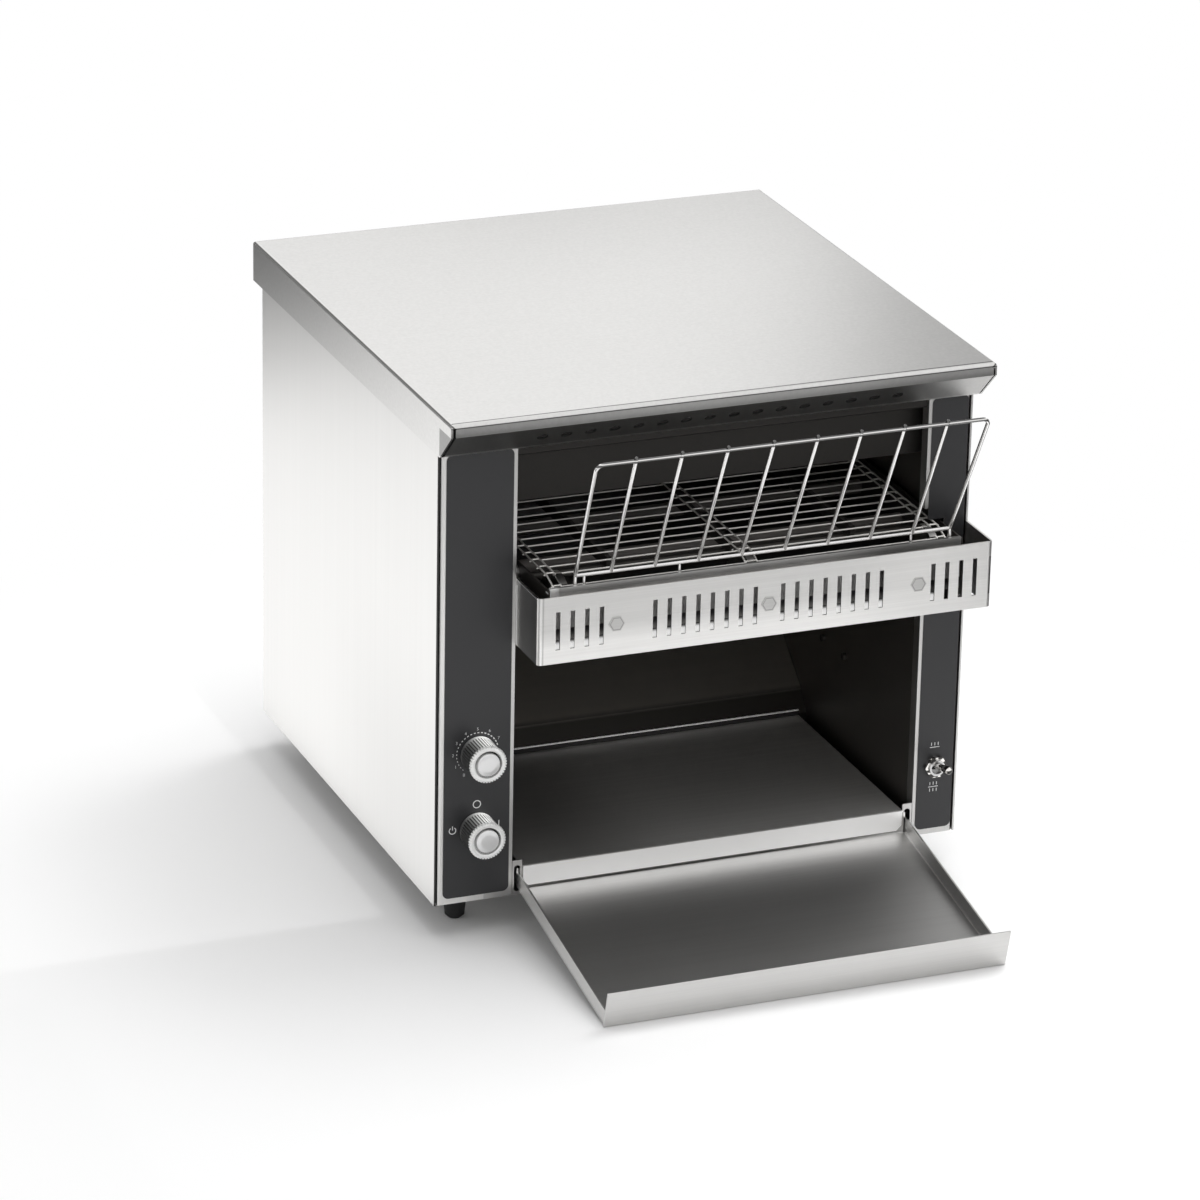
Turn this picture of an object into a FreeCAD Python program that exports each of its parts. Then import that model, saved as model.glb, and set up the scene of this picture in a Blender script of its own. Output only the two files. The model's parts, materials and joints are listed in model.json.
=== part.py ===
import FreeCAD, Part
import math
import os
import Sketcher

# A counter-top conveyor toaster. Every piece is drawn in one frame: x to the right, y back from
# the face of the two front columns, z up from the counter. All lengths are in millimetres.

SIZES = {
    # the case and its sheet metal
    "body_width": 368.0,
    "body_depth": 344.0,
    "foot_height": 25.0,
    "panel_sheet": 1.2,
    "inner_sheet": 1.0,
    "seam_gap": 0.5,
    "fit_gap": 0.3,
    "running_gap": 0.05,
    "overrun": 3.0,
    "base_upstand": 15.0,
    "panel_flange": 12.0,
    # the cover and its folded nose
    "cover_top": 363.5,
    "cover_overhang": 2.0,
    "cover_front": 28.6,
    "cover_rear": 13.3,
    "cover_skirt": 28.0,
    "nose_lip": 8.5,
    "nose_run": 20.6,
    "cover_bend": 2.4,
    "mitre_gap": 1.0,
    "vent_hole": 7.4,
    "vent_pitch": 16.2,
    "vent_down": 14.1,
    # the front columns and their printed faces
    "left_column_width": 53.4,
    "right_column_width": 31.1,
    "column_return": 9.0,
    "column_bend": 2.3,
    "face_sheet": 0.5,
    "face_bezel_inner": 2.5,
    "face_bezel_outer": 4.3,
    "face_bezel_right": 1.5,
    "face_bottom": 29.0,
    "face_top": 333.0,
    "face_corner": 4.0,
    "notch_low": 196.2,
    "notch_high": 257.0,
    "notch_depth": 14.0,
    # the inner walls
    "wall_step_height": 195.0,
    "wall_step_out": 15.1,
    "chute_screw_head": 5.0,
    "chute_screw_height": 109.6,
    "chute_screw_back": 114.6,
    "chute_screw_spacing": 35.3,
    # the landing pan and the front rail of the base
    "front_rail_height": 43.5,
    "front_ear_height": 49.0,
    "ear_width": 7.0,
    "slot_width": 4.5,
    "slot_low": 27.0,
    "slot_high": 45.4,
    "slot_inset": 1.4,
    "pan_top": 44.8,
    "pan_depth": 172.7,
    "pan_lip_low": 31.0,
    "pan_lip_gap_left": 7.4,
    "pan_lip_gap_right": 7.9,
    "pan_lip_corner": 3.6,
    "pan_inset": 0.4,
    "pan_upstand": 4.0,
    "ledge_depth": 12.0,
    "ledge_inset": 4.0,
    # the rear chute
    "chute_foot_back": 174.2,
    "chute_low_back": 184.5,
    "chute_low_height": 58.5,
    "chute_rear_gap": 2.3,
    "chute_high_height": 188.0,
    "chute_top": 232.0,
    # the product tray
    "tray_gap_left": 4.3,
    "tray_gap_right": 3.9,
    "tray_rear": 2.0,
    "tray_rear_height": 28.2,
    "tray_floor_reach": 154.0,
    "tray_front_height": 0.3,
    "tray_lip_height": 26.5,
    "tray_lip_lean": 6.5,
    "tray_lip_over": 1.0,
    "tray_flange": 10.8,
    "hook_reach": 5.0,
    "hook_high": 42.0,
    "hook_low": 28.9,
    "hook_rise": 2.4,
    "hook_tail": 2.4,
    # the front guard
    "guard_out": 39.3,
    "guard_low": 200.0,
    "guard_high": 245.2,
    "guard_bend": 3.0,
    "guard_slot_width": 3.0,
    "guard_slot_low": 209.2,
    "guard_slot_high": 234.8,
    "guard_pitch_share": 0.0313095995,
    "guard_pattern_shift": 0.5,
    "guard_inner_share": 0.0301970757,
    "guard_outer_share": 0.3649078195,
    "guard_stud_share": 0.3324856961,
    "guard_stud_height": 222.0,
    "guard_stud_flats": 9.6,
    "guard_stud_head": 0.4,
    "guard_spacer": 8.0,
    "guard_stud_hole": 5.0,
    # the nose channel in front of the belt
    "channel_out": 32.5,
    "channel_top": 248.2,
    "channel_low": 213.0,
    "channel_hem": 2.4,
    "channel_shelf_back": 25.6,
    "channel_shelf_height": 241.0,
    # the conveyor frame
    "plate_gap_left": 9.1,
    "plate_gap_right": 2.6,
    "plate_top": 247.2,
    "plate_low": 196.6,
    "plate_rear_reach": 25.1,
    "plate_nose_cut": 12.0,
    "shield_height": 198.6,
    "shield_rear_gap": 12.0,
    "reflector_height": 211.0,
    "reflector_front": 28.0,
    "reflector_rear_gap": 35.9,
    "reflector_upstand": 9.0,
    "spacer_diameter": 12.0,
    "spacer_front": 24.0,
    "spacer_rear_gap": 35.9,
    "spacer_low": 204.5,
    "spacer_high": 239.0,
    # the belt, its shafts and its drive
    "belt_pitch": 12.7,
    "belt_wire": 1.6,
    "belt_height": 247.6,
    "belt_gap_left": 5.9,
    "belt_gap_right": 5.0,
    "belt_end_room": 60.0,
    "belt_link_width": 8.0,
    "belt_link_inset": 8.5,
    "front_shaft_back": -7.5,
    "shaft_diameter": 8.0,
    "shaft_end_left": 1.5,
    "shaft_end_right": 0.3,
    "sprocket_width": 5.0,
    "sprocket_hub": 17.0,
    "sprocket_hub_width": 14.0,
    "sprocket_tip": 0.9,
    "gullet": 2.6,
    "bush_diameter": 12.0,
    "bush_flange": 16.0,
    "bush_flange_width": 1.2,
    "bush_inside": 1.5,
    "rail_width": 3.0,
    "rail_height": 8.0,
    "rail_front": 12.0,
    "rail_rear_gap": 19.9,
    "rail_below": 1.3,
    "rail_spacing": 85.0,
    "cross_rod": 6.0,
    "cross_rod_sink": 1.0,
    "cross_rod_inset": 8.0,
    "drive_wall_hole": 20.0,
    "coupling_diameter": 16.0,
    "coupling_length": 10.0,
    "coupling_gap": 0.6,
    "standoff_length": 11.2,
    "gearbox_width": 27.0,
    "gearbox_size": 50.0,
    "gearbox_corner": 6.0,
    "output_depth": 14.0,
    "motor_diameter": 36.0,
    "motor_length": 64.0,
    "motor_boss": 26.0,
    "motor_boss_length": 6.0,
    "standoff_diameter": 7.0,
    "standoff_spread": 20.0,
    # the heaters and their housing
    "housing_front": 18.0,
    "housing_rear_reach": 17.1,
    "housing_low": 290.0,
    "housing_roof": 326.0,
    "housing_brow": 2.0,
    "housing_brow_high": 347.0,
    "upper_reflector_low": 300.0,
    "upper_reflector_high": 319.0,
    "upper_reflector_front": 30.0,
    "upper_reflector_gap": 13.0,
    "upper_reflector_slope": 14.0,
    "heater_diameter": 9.6,
    "heater_first": 62.0,
    "heater_pitch": 66.0,
    "upper_heater_height": 306.0,
    "lower_heater_height": 226.0,
    "heater_end": 7.0,
    "heater_cap": 14.0,
    "heater_cap_length": 6.0,
    # the loading rack
    "rack_wire": 3.0,
    "rack_back": 28.5,
    "rack_low": 253.8,
    "rack_lean": 45.0,
    "rack_rise": 90.0,
    "rack_foot_height": 239.6,
    "rack_gap_left": 18.3,
    "rack_gap_right": 6.5,
    "rack_flare_left": 5.0,
    "rack_flare_right": 2.7,
    "rack_bend": 5.0,
    "rack_first_gap": 24.3,
    "rack_wire_pitch": 29.8,
    "rack_wire_lean": 1.1,
    "rack_wire_stub": 2.5,
    "rack_drop_wire": 2.0,
    "rack_drop_left": 6.1,
    "rack_drop_middle": 71.1,
    "rack_drop_right": 27.6,
    # the controls
    "knob_inset": 24.9,
    "speed_height": 128.3,
    "power_height": 75.2,
    "knob_base_diameter": 22.0,
    "knob_face_diameter": 24.6,
    "knob_length": 20.0,
    "knob_lift": 0.4,
    "knob_rim": 1.0,
    "knob_ring_outer": 18.6,
    "knob_cap_diameter": 15.4,
    "knob_ring_depth": 2.6,
    "knob_cap_height": 3.2,
    "knob_cap_dome": 0.6,
    "knob_flute": 1.6,
    "knob_flute_out": 0.4,
    "spindle_diameter": 6.0,
    "spindle_back": 10.0,
    "spindle_front": 14.0,
    "spindle_hole": 10.0,
    "control_bush": 9.0,
    "pot_diameter": 24.0,
    "pot_length": 11.0,
    "switch_size": 30.0,
    "switch_length": 26.0,
    "toggle_inset": 14.9,
    "toggle_height": 73.8,
    "toggle_body_width": 13.0,
    "toggle_body_height": 27.0,
    "toggle_body_depth": 20.0,
    "toggle_bush": 11.0,
    "toggle_bush_out": 5.2,
    "toggle_bore": 8.4,
    "toggle_nut_flats": 14.0,
    "toggle_nut_width": 2.4,
    "toggle_washer": 0.8,
    "toggle_pivot_back": 3.0,
    "toggle_length": 25.0,
    "toggle_root_diameter": 3.2,
    "toggle_tip_diameter": 5.6,
    # the fan, the feet and the electrical pieces
    "fan_size": 92.0,
    "fan_depth": 25.0,
    "fan_bore": 86.0,
    "fan_hub": 36.0,
    "fan_tip": 83.0,
    "fan_left": 60.0,
    "fan_height": 82.0,
    "fan_corner": 5.0,
    "fan_arm": 6.0,
    "fan_arm_depth": 4.0,
    "fan_blade_sheet": 1.6,
    "fan_blade_width": 15.0,
    "fan_axle": 4.0,
    "fan_hole": 84.0,
    "ring_outer": 89.0,
    "ring_width": 2.4,
    "ring_pitch": 10.0,
    "foot_top": 18.0,
    "foot_bottom": 13.0,
    "foot_round": 2.0,
    "foot_side_inset": 26.5,
    "foot_end_inset": 33.0,
    "foot_stud": 5.0,
    "foot_stud_height": 6.0,
    "gland_hole": 16.0,
    "gland_flange": 24.0,
    "gland_length": 18.0,
    "gland_out": 8.0,
    "gland_bore": 9.0,
    "gland_side": 44.0,
    "gland_height": 60.0,
    "board_height": 150.0,
    "board_length": 90.0,
    "board_width": 60.0,
    "board_sheet": 1.6,
    "board_back": 60.0,
    "board_standoff": 6.0,
    "board_post": 3.5,
    "sink_depth": 14.0,
    "sink_reach": 30.0,
    "screw_head": 7.0,
    "screw_head_height": 2.2,
    "screw_edge": 9.0,
    "louvre_width": 3.5,
    "louvre_height": 34.0,
    "louvre_pitch": 10.0,
    "louvre_low": 292.0,
}

VENT_HOLES = 16
INNER_GUARD_SLOTS = 8
OUTER_GUARD_SLOTS = 4
SPROCKET_TEETH = 10
RACK_INNER_WIRES = 8
RACK_LEANING_WIRES = 3
HEATER_COUNT = 4
KNOB_FLUTES = 20
FAN_BLADES = 7
GUARD_RINGS = 4
LOUVRES = 14
TOGGLE_TILT = 12.0
FAN_BLADE_TWIST = 38.0
PLANE_ROLES = {"XY": "XY_Plane", "XZ": "XZ_Plane", "YZ": "YZ_Plane"}
X_AXIS = FreeCAD.Vector(1, 0, 0)
Y_AXIS = FreeCAD.Vector(0, 1, 0)
Z_AXIS = FreeCAD.Vector(0, 0, 1)

doc = FreeCAD.newDocument("ConveyorToaster")
NODES = {}


class Size:
    """A length that carries its number and the formula in the sheet that gives it."""

    def __init__(self, value, text):
        self.value = value
        self.text = text

    def __float__(self):
        return float(self.value)

    def joined(self, other, sign, value, flipped=False):
        ends = [self.text, str(getattr(other, "text", other))]
        if flipped:
            ends.reverse()
        return Size(value, "(%s %s %s)" % (ends[0], sign, ends[1]))

    def __add__(self, other):
        return self.joined(other, "+", float(self) + float(other))

    def __radd__(self, other):
        return self.joined(other, "+", float(other) + float(self), True)

    def __sub__(self, other):
        return self.joined(other, "-", float(self) - float(other))

    def __rsub__(self, other):
        return self.joined(other, "-", float(other) - float(self), True)

    def __mul__(self, other):
        return self.joined(other, "*", float(self) * float(other))

    def __rmul__(self, other):
        return self.joined(other, "*", float(other) * float(self), True)

    def __truediv__(self, other):
        return self.joined(other, "/", float(self) / float(other))

    def __neg__(self):
        return Size(-float(self), "(0 - %s)" % self.text)


class SizeSheet:
    """The spreadsheet of driving sizes, read by name."""

    def __init__(self, sizes):
        self.sheet = doc.addObject("Spreadsheet::Sheet", "Sizes")
        self.sizes = sizes
        for row, (alias, value) in enumerate(sizes.items(), start=1):
            self.sheet.set("A%d" % row, alias)
            self.sheet.set("B%d" % row, str(value))
            self.sheet.setAlias("B%d" % row, alias)
        doc.recompute()

    def __getattr__(self, alias):
        return Size(self.sizes[alias], "Sizes." + alias)


d = SizeSheet(SIZES)


def link(thing, path, value):
    """Bind one property to its formula, or set it when it is a plain number."""
    if isinstance(value, Size):
        thing.setExpression(path, value.text)
    elif "." in path:
        thing.setExpression(path, str(float(value)))
    else:
        setattr(thing, path, float(value))


def place(thing, x=0, y=0, z=0, axis=None, angle=0):
    """Put a piece at a point, turned about an axis first."""
    if axis is not None:
        thing.Placement = FreeCAD.Placement(FreeCAD.Vector(), FreeCAD.Rotation(axis, angle))
    for path, value in (("x", x), ("y", y), ("z", z)):
        link(thing, "Placement.Base." + path, value)
    return thing


# The cover's back edge and the tray's lip are equally far from the row's origin.
tray_reach = d.tray_floor_reach + d.tray_lip_lean
cover_back = d.body_depth + d.cover_rear
front_y = (tray_reach - cover_back) / 2


def node(thing, label, x=0, y=0, z=0, axis=None, angle=0):
    """Name a finished piece and shift it from the column face to the row's origin."""
    thing.Label = label
    place(thing, x, front_y + y, z, axis, angle)
    NODES[label] = thing
    return thing


def rectangle(u0, v0, u1, v1):
    return [(u0, v0), (u1, v0), (u1, v1), (u0, v1)]


def new_sketch(body, plane, at):
    """An empty sketch on one of the body's planes, moved along its axis."""
    sketch = body.newObject("Sketcher::SketchObject", "Sketch")
    origin_plane = [f for f in body.Origin.OriginFeatures if f.Role == PLANE_ROLES[plane]][0]
    sketch.AttachmentSupport = [(origin_plane, "")]
    sketch.MapMode = "FlatFace"
    link(sketch, "AttachmentOffset.Base.z", -at if plane == "XZ" else at)
    return sketch


def pin_point(sketch, geometry, end, u, v):
    """Fix a point of the sketch by its two distances from the origin."""
    for kind, value in (("DistanceX", u), ("DistanceY", v)):
        index = sketch.addConstraint(Sketcher.Constraint(kind, -1, 1, geometry, end, float(value)))
        if isinstance(value, Size):
            sketch.setExpression("Constraints[%d]" % index, value.text)


def draw_outline(sketch, points):
    """Straight lines through the points, closed."""
    corners = [FreeCAD.Vector(float(u), float(v), 0) for u, v in points]
    count = len(corners)
    first = sketch.GeometryCount
    for i in range(count):
        sketch.addGeometry(Part.LineSegment(corners[i], corners[(i + 1) % count]))
    for i in range(count):
        following = first + (i + 1) % count
        sketch.addConstraint(Sketcher.Constraint("Coincident", first + i, 2, following, 1))
    for i, (u, v) in enumerate(points):
        pin_point(sketch, first + i, 1, u, v)


def draw_circle(sketch, u, v, diameter):
    middle = FreeCAD.Vector(float(u), float(v), 0)
    circle = sketch.addGeometry(Part.Circle(middle, Z_AXIS, float(diameter) / 2))
    pin_point(sketch, circle, 3, u, v)
    index = sketch.addConstraint(Sketcher.Constraint("Diameter", circle, float(diameter)))
    if isinstance(diameter, Size):
        sketch.setExpression("Constraints[%d]" % index, diameter.text)


def add_plate(body, plane, at, thickness, points):
    """Pad an outline from one place to another along the positive axis."""
    sketch = new_sketch(body, plane, at)
    draw_outline(sketch, points)
    pad = body.newObject("PartDesign::Pad", "Pad")
    pad.Profile = sketch
    pad.Reversed = plane == "XZ"
    link(pad, "Length", thickness)
    return pad


def plate(name, plane, at, thickness, points):
    body = doc.addObject("PartDesign::Body", name)
    add_plate(body, plane, at, thickness, points)
    return body


def add_pocket(body, plane, sketch, depth):
    """Cut along the positive axis from where the sketch lies."""
    pocket = body.newObject("PartDesign::Pocket", "Pocket")
    pocket.Profile = sketch
    pocket.Reversed = plane != "XZ"
    link(pocket, "Length", depth)
    return pocket


def cut_outline(body, plane, at, depth, points):
    sketch = new_sketch(body, plane, at)
    draw_outline(sketch, points)
    return add_pocket(body, plane, sketch, depth)


def cut_circle(body, plane, at, depth, u, v, diameter):
    sketch = new_sketch(body, plane, at)
    draw_circle(sketch, u, v, diameter)
    return add_pocket(body, plane, sketch, depth)


def row_of(body, pocket, axis_name, pitch, count):
    """Repeat a cut along one axis of its own sketch."""
    pattern = body.newObject("PartDesign::LinearPattern", "Row")
    pattern.Originals = [pocket]
    pattern.Direction = (pocket.Profile[0], [axis_name])
    pattern.Mode = "Spacing"
    link(pattern, "Offset", pitch)
    pattern.Occurrences = count
    body.Tip = pattern
    return pattern


def round_edges(body, radius, picks):
    """Round the edges that a test picks from the body as it stands."""
    doc.recompute()
    base = body.Tip
    names = ["Edge%d" % (i + 1) for i, edge in enumerate(base.Shape.Edges) if picks(edge)]
    fillet = body.newObject("PartDesign::Fillet", "Bend")
    fillet.Base = (base, names)
    link(fillet, "Radius", radius)
    return fillet


def edge_near(axis, **places):
    """A test for straight edges along one axis that pass through the given places."""
    def picks(edge):
        box = edge.BoundBox
        spans = {"x": box.XLength, "y": box.YLength, "z": box.ZLength}
        middle = {"x": box.Center.x, "y": box.Center.y, "z": box.Center.z}
        others = [spans[name] for name in "xyz" if name != axis]
        straight = max(others) < 1e-6 < spans[axis]
        return straight and all(abs(middle[name] - float(at)) < 1e-4 for name, at in places.items())
    return picks


def any_of(*tests):
    return lambda edge: any(test(edge) for test in tests)


def block(name, x, y, z):
    """A box between two places on each axis."""
    box = doc.addObject("Part::Box", name)
    link(box, "Length", x[1] - x[0])
    link(box, "Width", y[1] - y[0])
    link(box, "Height", z[1] - z[0])
    return place(box, x[0], y[0], z[0])


TURNS = {"X": (Y_AXIS, 90), "Y": (X_AXIS, -90), "Z": (Z_AXIS, 0)}


def rod(name, axis, start, end, u, v, diameter):
    """A cylinder along an axis, centred on the other two coordinates."""
    cylinder = doc.addObject("Part::Cylinder", name)
    link(cylinder, "Radius", diameter / 2)
    link(cylinder, "Height", end - start)
    at = {"X": (start, u, v), "Y": (u, start, v), "Z": (u, v, start)}[axis]
    turn_axis, angle = TURNS[axis]
    return place(cylinder, at[0], at[1], at[2], turn_axis, angle)


def hexagon(name, axis, start, end, u, v, flats):
    """A hexagonal bar along an axis, given across its flats."""
    prism = doc.addObject("Part::Prism", name)
    prism.Polygon = 6
    link(prism, "Circumradius", flats / (2 * math.cos(math.radians(30))))
    link(prism, "Height", end - start)
    at = {"X": (start, u, v), "Y": (u, start, v), "Z": (u, v, start)}[axis]
    turn_axis, angle = TURNS[axis]
    return place(prism, at[0], at[1], at[2], turn_axis, angle)


def ball(name, height, diameter):
    """A sphere on the z axis."""
    sphere = doc.addObject("Part::Sphere", name)
    link(sphere, "Radius", diameter / 2)
    return place(sphere, 0, 0, height)


def fuse(name, parts):
    joined = doc.addObject("Part::MultiFuse", name)
    joined.Shapes = parts
    return joined


def cut(name, base, tools):
    difference = doc.addObject("Part::Cut", name)
    difference.Base = base
    difference.Tool = tools[0] if len(tools) == 1 else fuse(name + "_tools", tools)
    return difference


def group(name, parts):
    together = doc.addObject("Part::Compound", name)
    together.Links = parts
    return together


def turned(name, points):
    """A piece turned about its own z axis from an outline of radius and height."""
    body = doc.addObject("PartDesign::Body", name)
    sketch = new_sketch(body, "XZ", 0)
    draw_outline(sketch, points)
    revolution = body.newObject("PartDesign::Revolution", "Turn")
    revolution.Profile = sketch
    revolution.ReferenceAxis = (sketch, ["V_Axis"])
    revolution.Angle = 360
    return body


def feature(name, shape):
    solid = doc.addObject("Part::Feature", name)
    solid.Shape = shape
    return solid


# Places that several pieces share.
half_width = d.body_width / 2
sheet = d.panel_sheet
thin = d.inner_sheet
inside_width = half_width - sheet
column_side = inside_width - d.seam_gap
left_mouth = -(half_width - d.left_column_width)
right_mouth = half_width - d.right_column_width
base_top = d.foot_height + sheet
rear_inside = d.body_depth - sheet
wall_front = d.column_return + d.seam_gap
wall_back = rear_inside - d.fit_gap
wall_top = d.cover_top - sheet - d.fit_gap
left_wall_outer = left_mouth - sheet
right_upper_wall = right_mouth + d.wall_step_out
plate_left_out = left_mouth + d.plate_gap_left
plate_left_in = plate_left_out + sheet
plate_right_out = right_upper_wall - d.plate_gap_right
plate_right_in = plate_right_out - sheet
sprocket_share = 1 / (2 * math.sin(math.pi / SPROCKET_TEETH))
pitch_radius = d.belt_pitch * sprocket_share
shaft_height = d.belt_height - pitch_radius
front_shaft = d.front_shaft_back
top_run_pitches = int(float(d.body_depth - d.belt_end_room) / float(d.belt_pitch))
rear_shaft = front_shaft + top_run_pitches * d.belt_pitch
plate_rear = rear_shaft + d.plate_rear_reach
belt_left = plate_left_in + d.belt_gap_left
belt_right = plate_right_in - d.belt_gap_right
belt_centre = (belt_left + belt_right) / 2
belt_columns = (belt_left + d.belt_link_inset, belt_centre, belt_right - d.belt_link_inset)
tray_left = left_mouth + d.tray_gap_left
tray_right = right_mouth - d.tray_gap_right
housing_rear = rear_shaft + d.housing_rear_reach
gearbox_face = left_wall_outer - d.standoff_length
knob_x = left_mouth - d.knob_inset
toggle_x = right_mouth + d.toggle_inset
rack_left = plate_left_in + d.rack_gap_left
rack_right = plate_right_in - d.rack_gap_right
skirt_low = d.cover_top - d.cover_skirt
heater_places = [d.heater_first + i * d.heater_pitch for i in range(HEATER_COUNT)]
lower_heater_places = heater_places[:-1]
heater_rows = ((d.upper_heater_height, heater_places), (d.lower_heater_height, lower_heater_places))


def make_case():
    """The base, the side and rear panels, the cover and the feet."""
    edge = inside_width - d.fit_gap
    back = rear_inside - d.fit_gap
    step = sheet + d.fit_gap
    floor = [(-edge, step), (left_mouth + d.fit_gap, step), (left_mouth + d.fit_gap, 0),
             (right_mouth - d.fit_gap, 0), (right_mouth - d.fit_gap, step), (edge, step),
             (edge, back), (-edge, back)]
    base = plate("Base", "XY", d.foot_height, sheet, floor)
    ear_left = left_mouth + d.ear_width
    ear_right = right_mouth - d.ear_width
    rail = [(left_mouth + d.fit_gap, d.foot_height), (right_mouth - d.fit_gap, d.foot_height),
            (right_mouth - d.fit_gap, d.front_ear_height), (ear_right, d.front_ear_height),
            (ear_right, d.front_rail_height), (ear_left, d.front_rail_height),
            (ear_left, d.front_ear_height), (left_mouth + d.fit_gap, d.front_ear_height)]
    add_plate(base, "XZ", 0, sheet, rail)
    for side_at in (-edge, edge - sheet):
        add_plate(base, "YZ", side_at, sheet,
                  rectangle(d.column_return + d.fit_gap, d.foot_height, back, base_top + d.base_upstand))
    slots = ((left_mouth + d.slot_inset, left_mouth + d.slot_inset + d.slot_width),
             (right_mouth - d.slot_inset - d.slot_width, right_mouth - d.slot_inset))
    for slot_left, slot_right in slots:
        cut_outline(base, "XZ", -d.overrun, d.overrun + step,
                    rectangle(slot_left, d.slot_low, slot_right, d.slot_high))
        corners = [edge_near("y", x=x, z=z)
                   for x in (slot_left, slot_right) for z in (d.slot_low, d.slot_high)]
        round_edges(base, d.slot_width / 2 - d.running_gap, any_of(*corners))
    foot_x = half_width - d.foot_side_inset
    foot_y = (d.foot_end_inset, d.body_depth - d.foot_end_inset)
    for x in (-foot_x, foot_x):
        for y in foot_y:
            cut_circle(base, "XY", d.foot_height - d.overrun, sheet + 2 * d.overrun, x, y,
                       d.foot_stud + 2 * d.fit_gap)
    node(base, "base_pan")

    for label, side, flange in (("left_side_panel", -1, 0), ("right_side_panel", 1, 1)):
        skin = -half_width if side < 0 else inside_width
        panel = plate(label, "YZ", skin, sheet,
                      rectangle(0, d.foot_height, d.body_depth, d.cover_top - sheet))
        lap = -inside_width if side < 0 else inside_width - d.panel_flange
        add_plate(panel, "XY", d.cover_top - 2 * sheet, sheet,
                  rectangle(lap, d.column_return, lap + d.panel_flange, rear_inside))
        round_edges(panel, sheet, edge_near("y", x=side * half_width, z=d.cover_top - sheet))
        node(panel, label)

    rear = plate("Rear", "XZ", rear_inside, sheet,
                 rectangle(-inside_width, d.foot_height, inside_width, d.cover_top - 2 * sheet))
    cut_at = rear_inside - d.overrun
    cut_depth = sheet + 2 * d.overrun
    cut_circle(rear, "XZ", cut_at, cut_depth, -d.fan_left, d.fan_height, d.fan_hole)
    cut_circle(rear, "XZ", cut_at, cut_depth, d.gland_side - half_width, d.gland_height, d.gland_hole)
    first = -(LOUVRES - 1) / 2 * d.louvre_pitch
    louvre = cut_outline(rear, "XZ", cut_at, cut_depth,
                         rectangle(first - d.louvre_width / 2, d.louvre_low,
                                   first + d.louvre_width / 2, d.louvre_low + d.louvre_height))
    row_of(rear, louvre, "H_Axis", d.louvre_pitch, LOUVRES)
    node(rear, "rear_panel")

    front = -d.cover_front
    lip_low = d.cover_top - d.nose_lip
    wide = half_width + d.cover_overhang
    cover = plate("Cover", "YZ", -wide, 2 * wide,
                  [(front, d.cover_top), (front, lip_low), (front + d.nose_run, skirt_low),
                   (cover_back, skirt_low), (cover_back, d.cover_top)])
    round_edges(cover, d.cover_bend,
                any_of(edge_near("x", y=front, z=d.cover_top), edge_near("x", y=cover_back, z=d.cover_top),
                       edge_near("y", x=wide, z=d.cover_top), edge_near("y", x=-wide, z=d.cover_top)))
    doc.recompute()
    solid = cover.Tip
    open_faces = ["Face%d" % (i + 1) for i, face in enumerate(solid.Shape.Faces)
                  if face.BoundBox.ZLength < 1e-6 and abs(face.BoundBox.ZMin - float(skirt_low)) < 1e-6]
    shell = cover.newObject("PartDesign::Thickness", "Shell")
    shell.Base = (solid, open_faces)
    shell.Reversed = True
    link(shell, "Value", sheet)
    for side in (-1, 1):
        inner = side * (wide - sheet)
        outer_cut = inner - side * d.mitre_gap
        cut_outline(cover, "XZ", front - d.overrun, d.overrun + d.nose_run,
                    rectangle(outer_cut, skirt_low - d.overrun, inner, d.cover_top - d.cover_bend - sheet))
    slope = math.degrees(math.atan2(float(d.nose_run), float(d.cover_skirt - d.nose_lip)))
    slant = new_sketch(cover, "XZ", front)
    slant.AttachmentOffset = FreeCAD.Placement(FreeCAD.Vector(), FreeCAD.Rotation(X_AXIS, slope))
    link(slant, "AttachmentOffset.Base.y", lip_low)
    draw_circle(slant, -(VENT_HOLES - 1) / 2 * d.vent_pitch, -d.vent_down, d.vent_hole)
    vent = add_pocket(cover, "XZ", slant, sheet + d.fit_gap)
    row_of(cover, vent, "H_Axis", d.vent_pitch, VENT_HOLES)
    node(cover, "top_cover")

    feet = []
    for x in (-foot_x, foot_x):
        for y in foot_y:
            top = d.foot_top / 2
            low = d.foot_bottom / 2
            foot = turned("Foot", [(0, 0), (low - d.foot_round, 0), (low, d.foot_round),
                                   (top, d.foot_height), (d.foot_stud / 2, d.foot_height),
                                   (d.foot_stud / 2, d.foot_height + d.foot_stud_height),
                                   (0, d.foot_height + d.foot_stud_height)])
            feet.append(place(foot, x, y, 0))
    node(group("Feet", feet), "rubber_feet")


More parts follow.
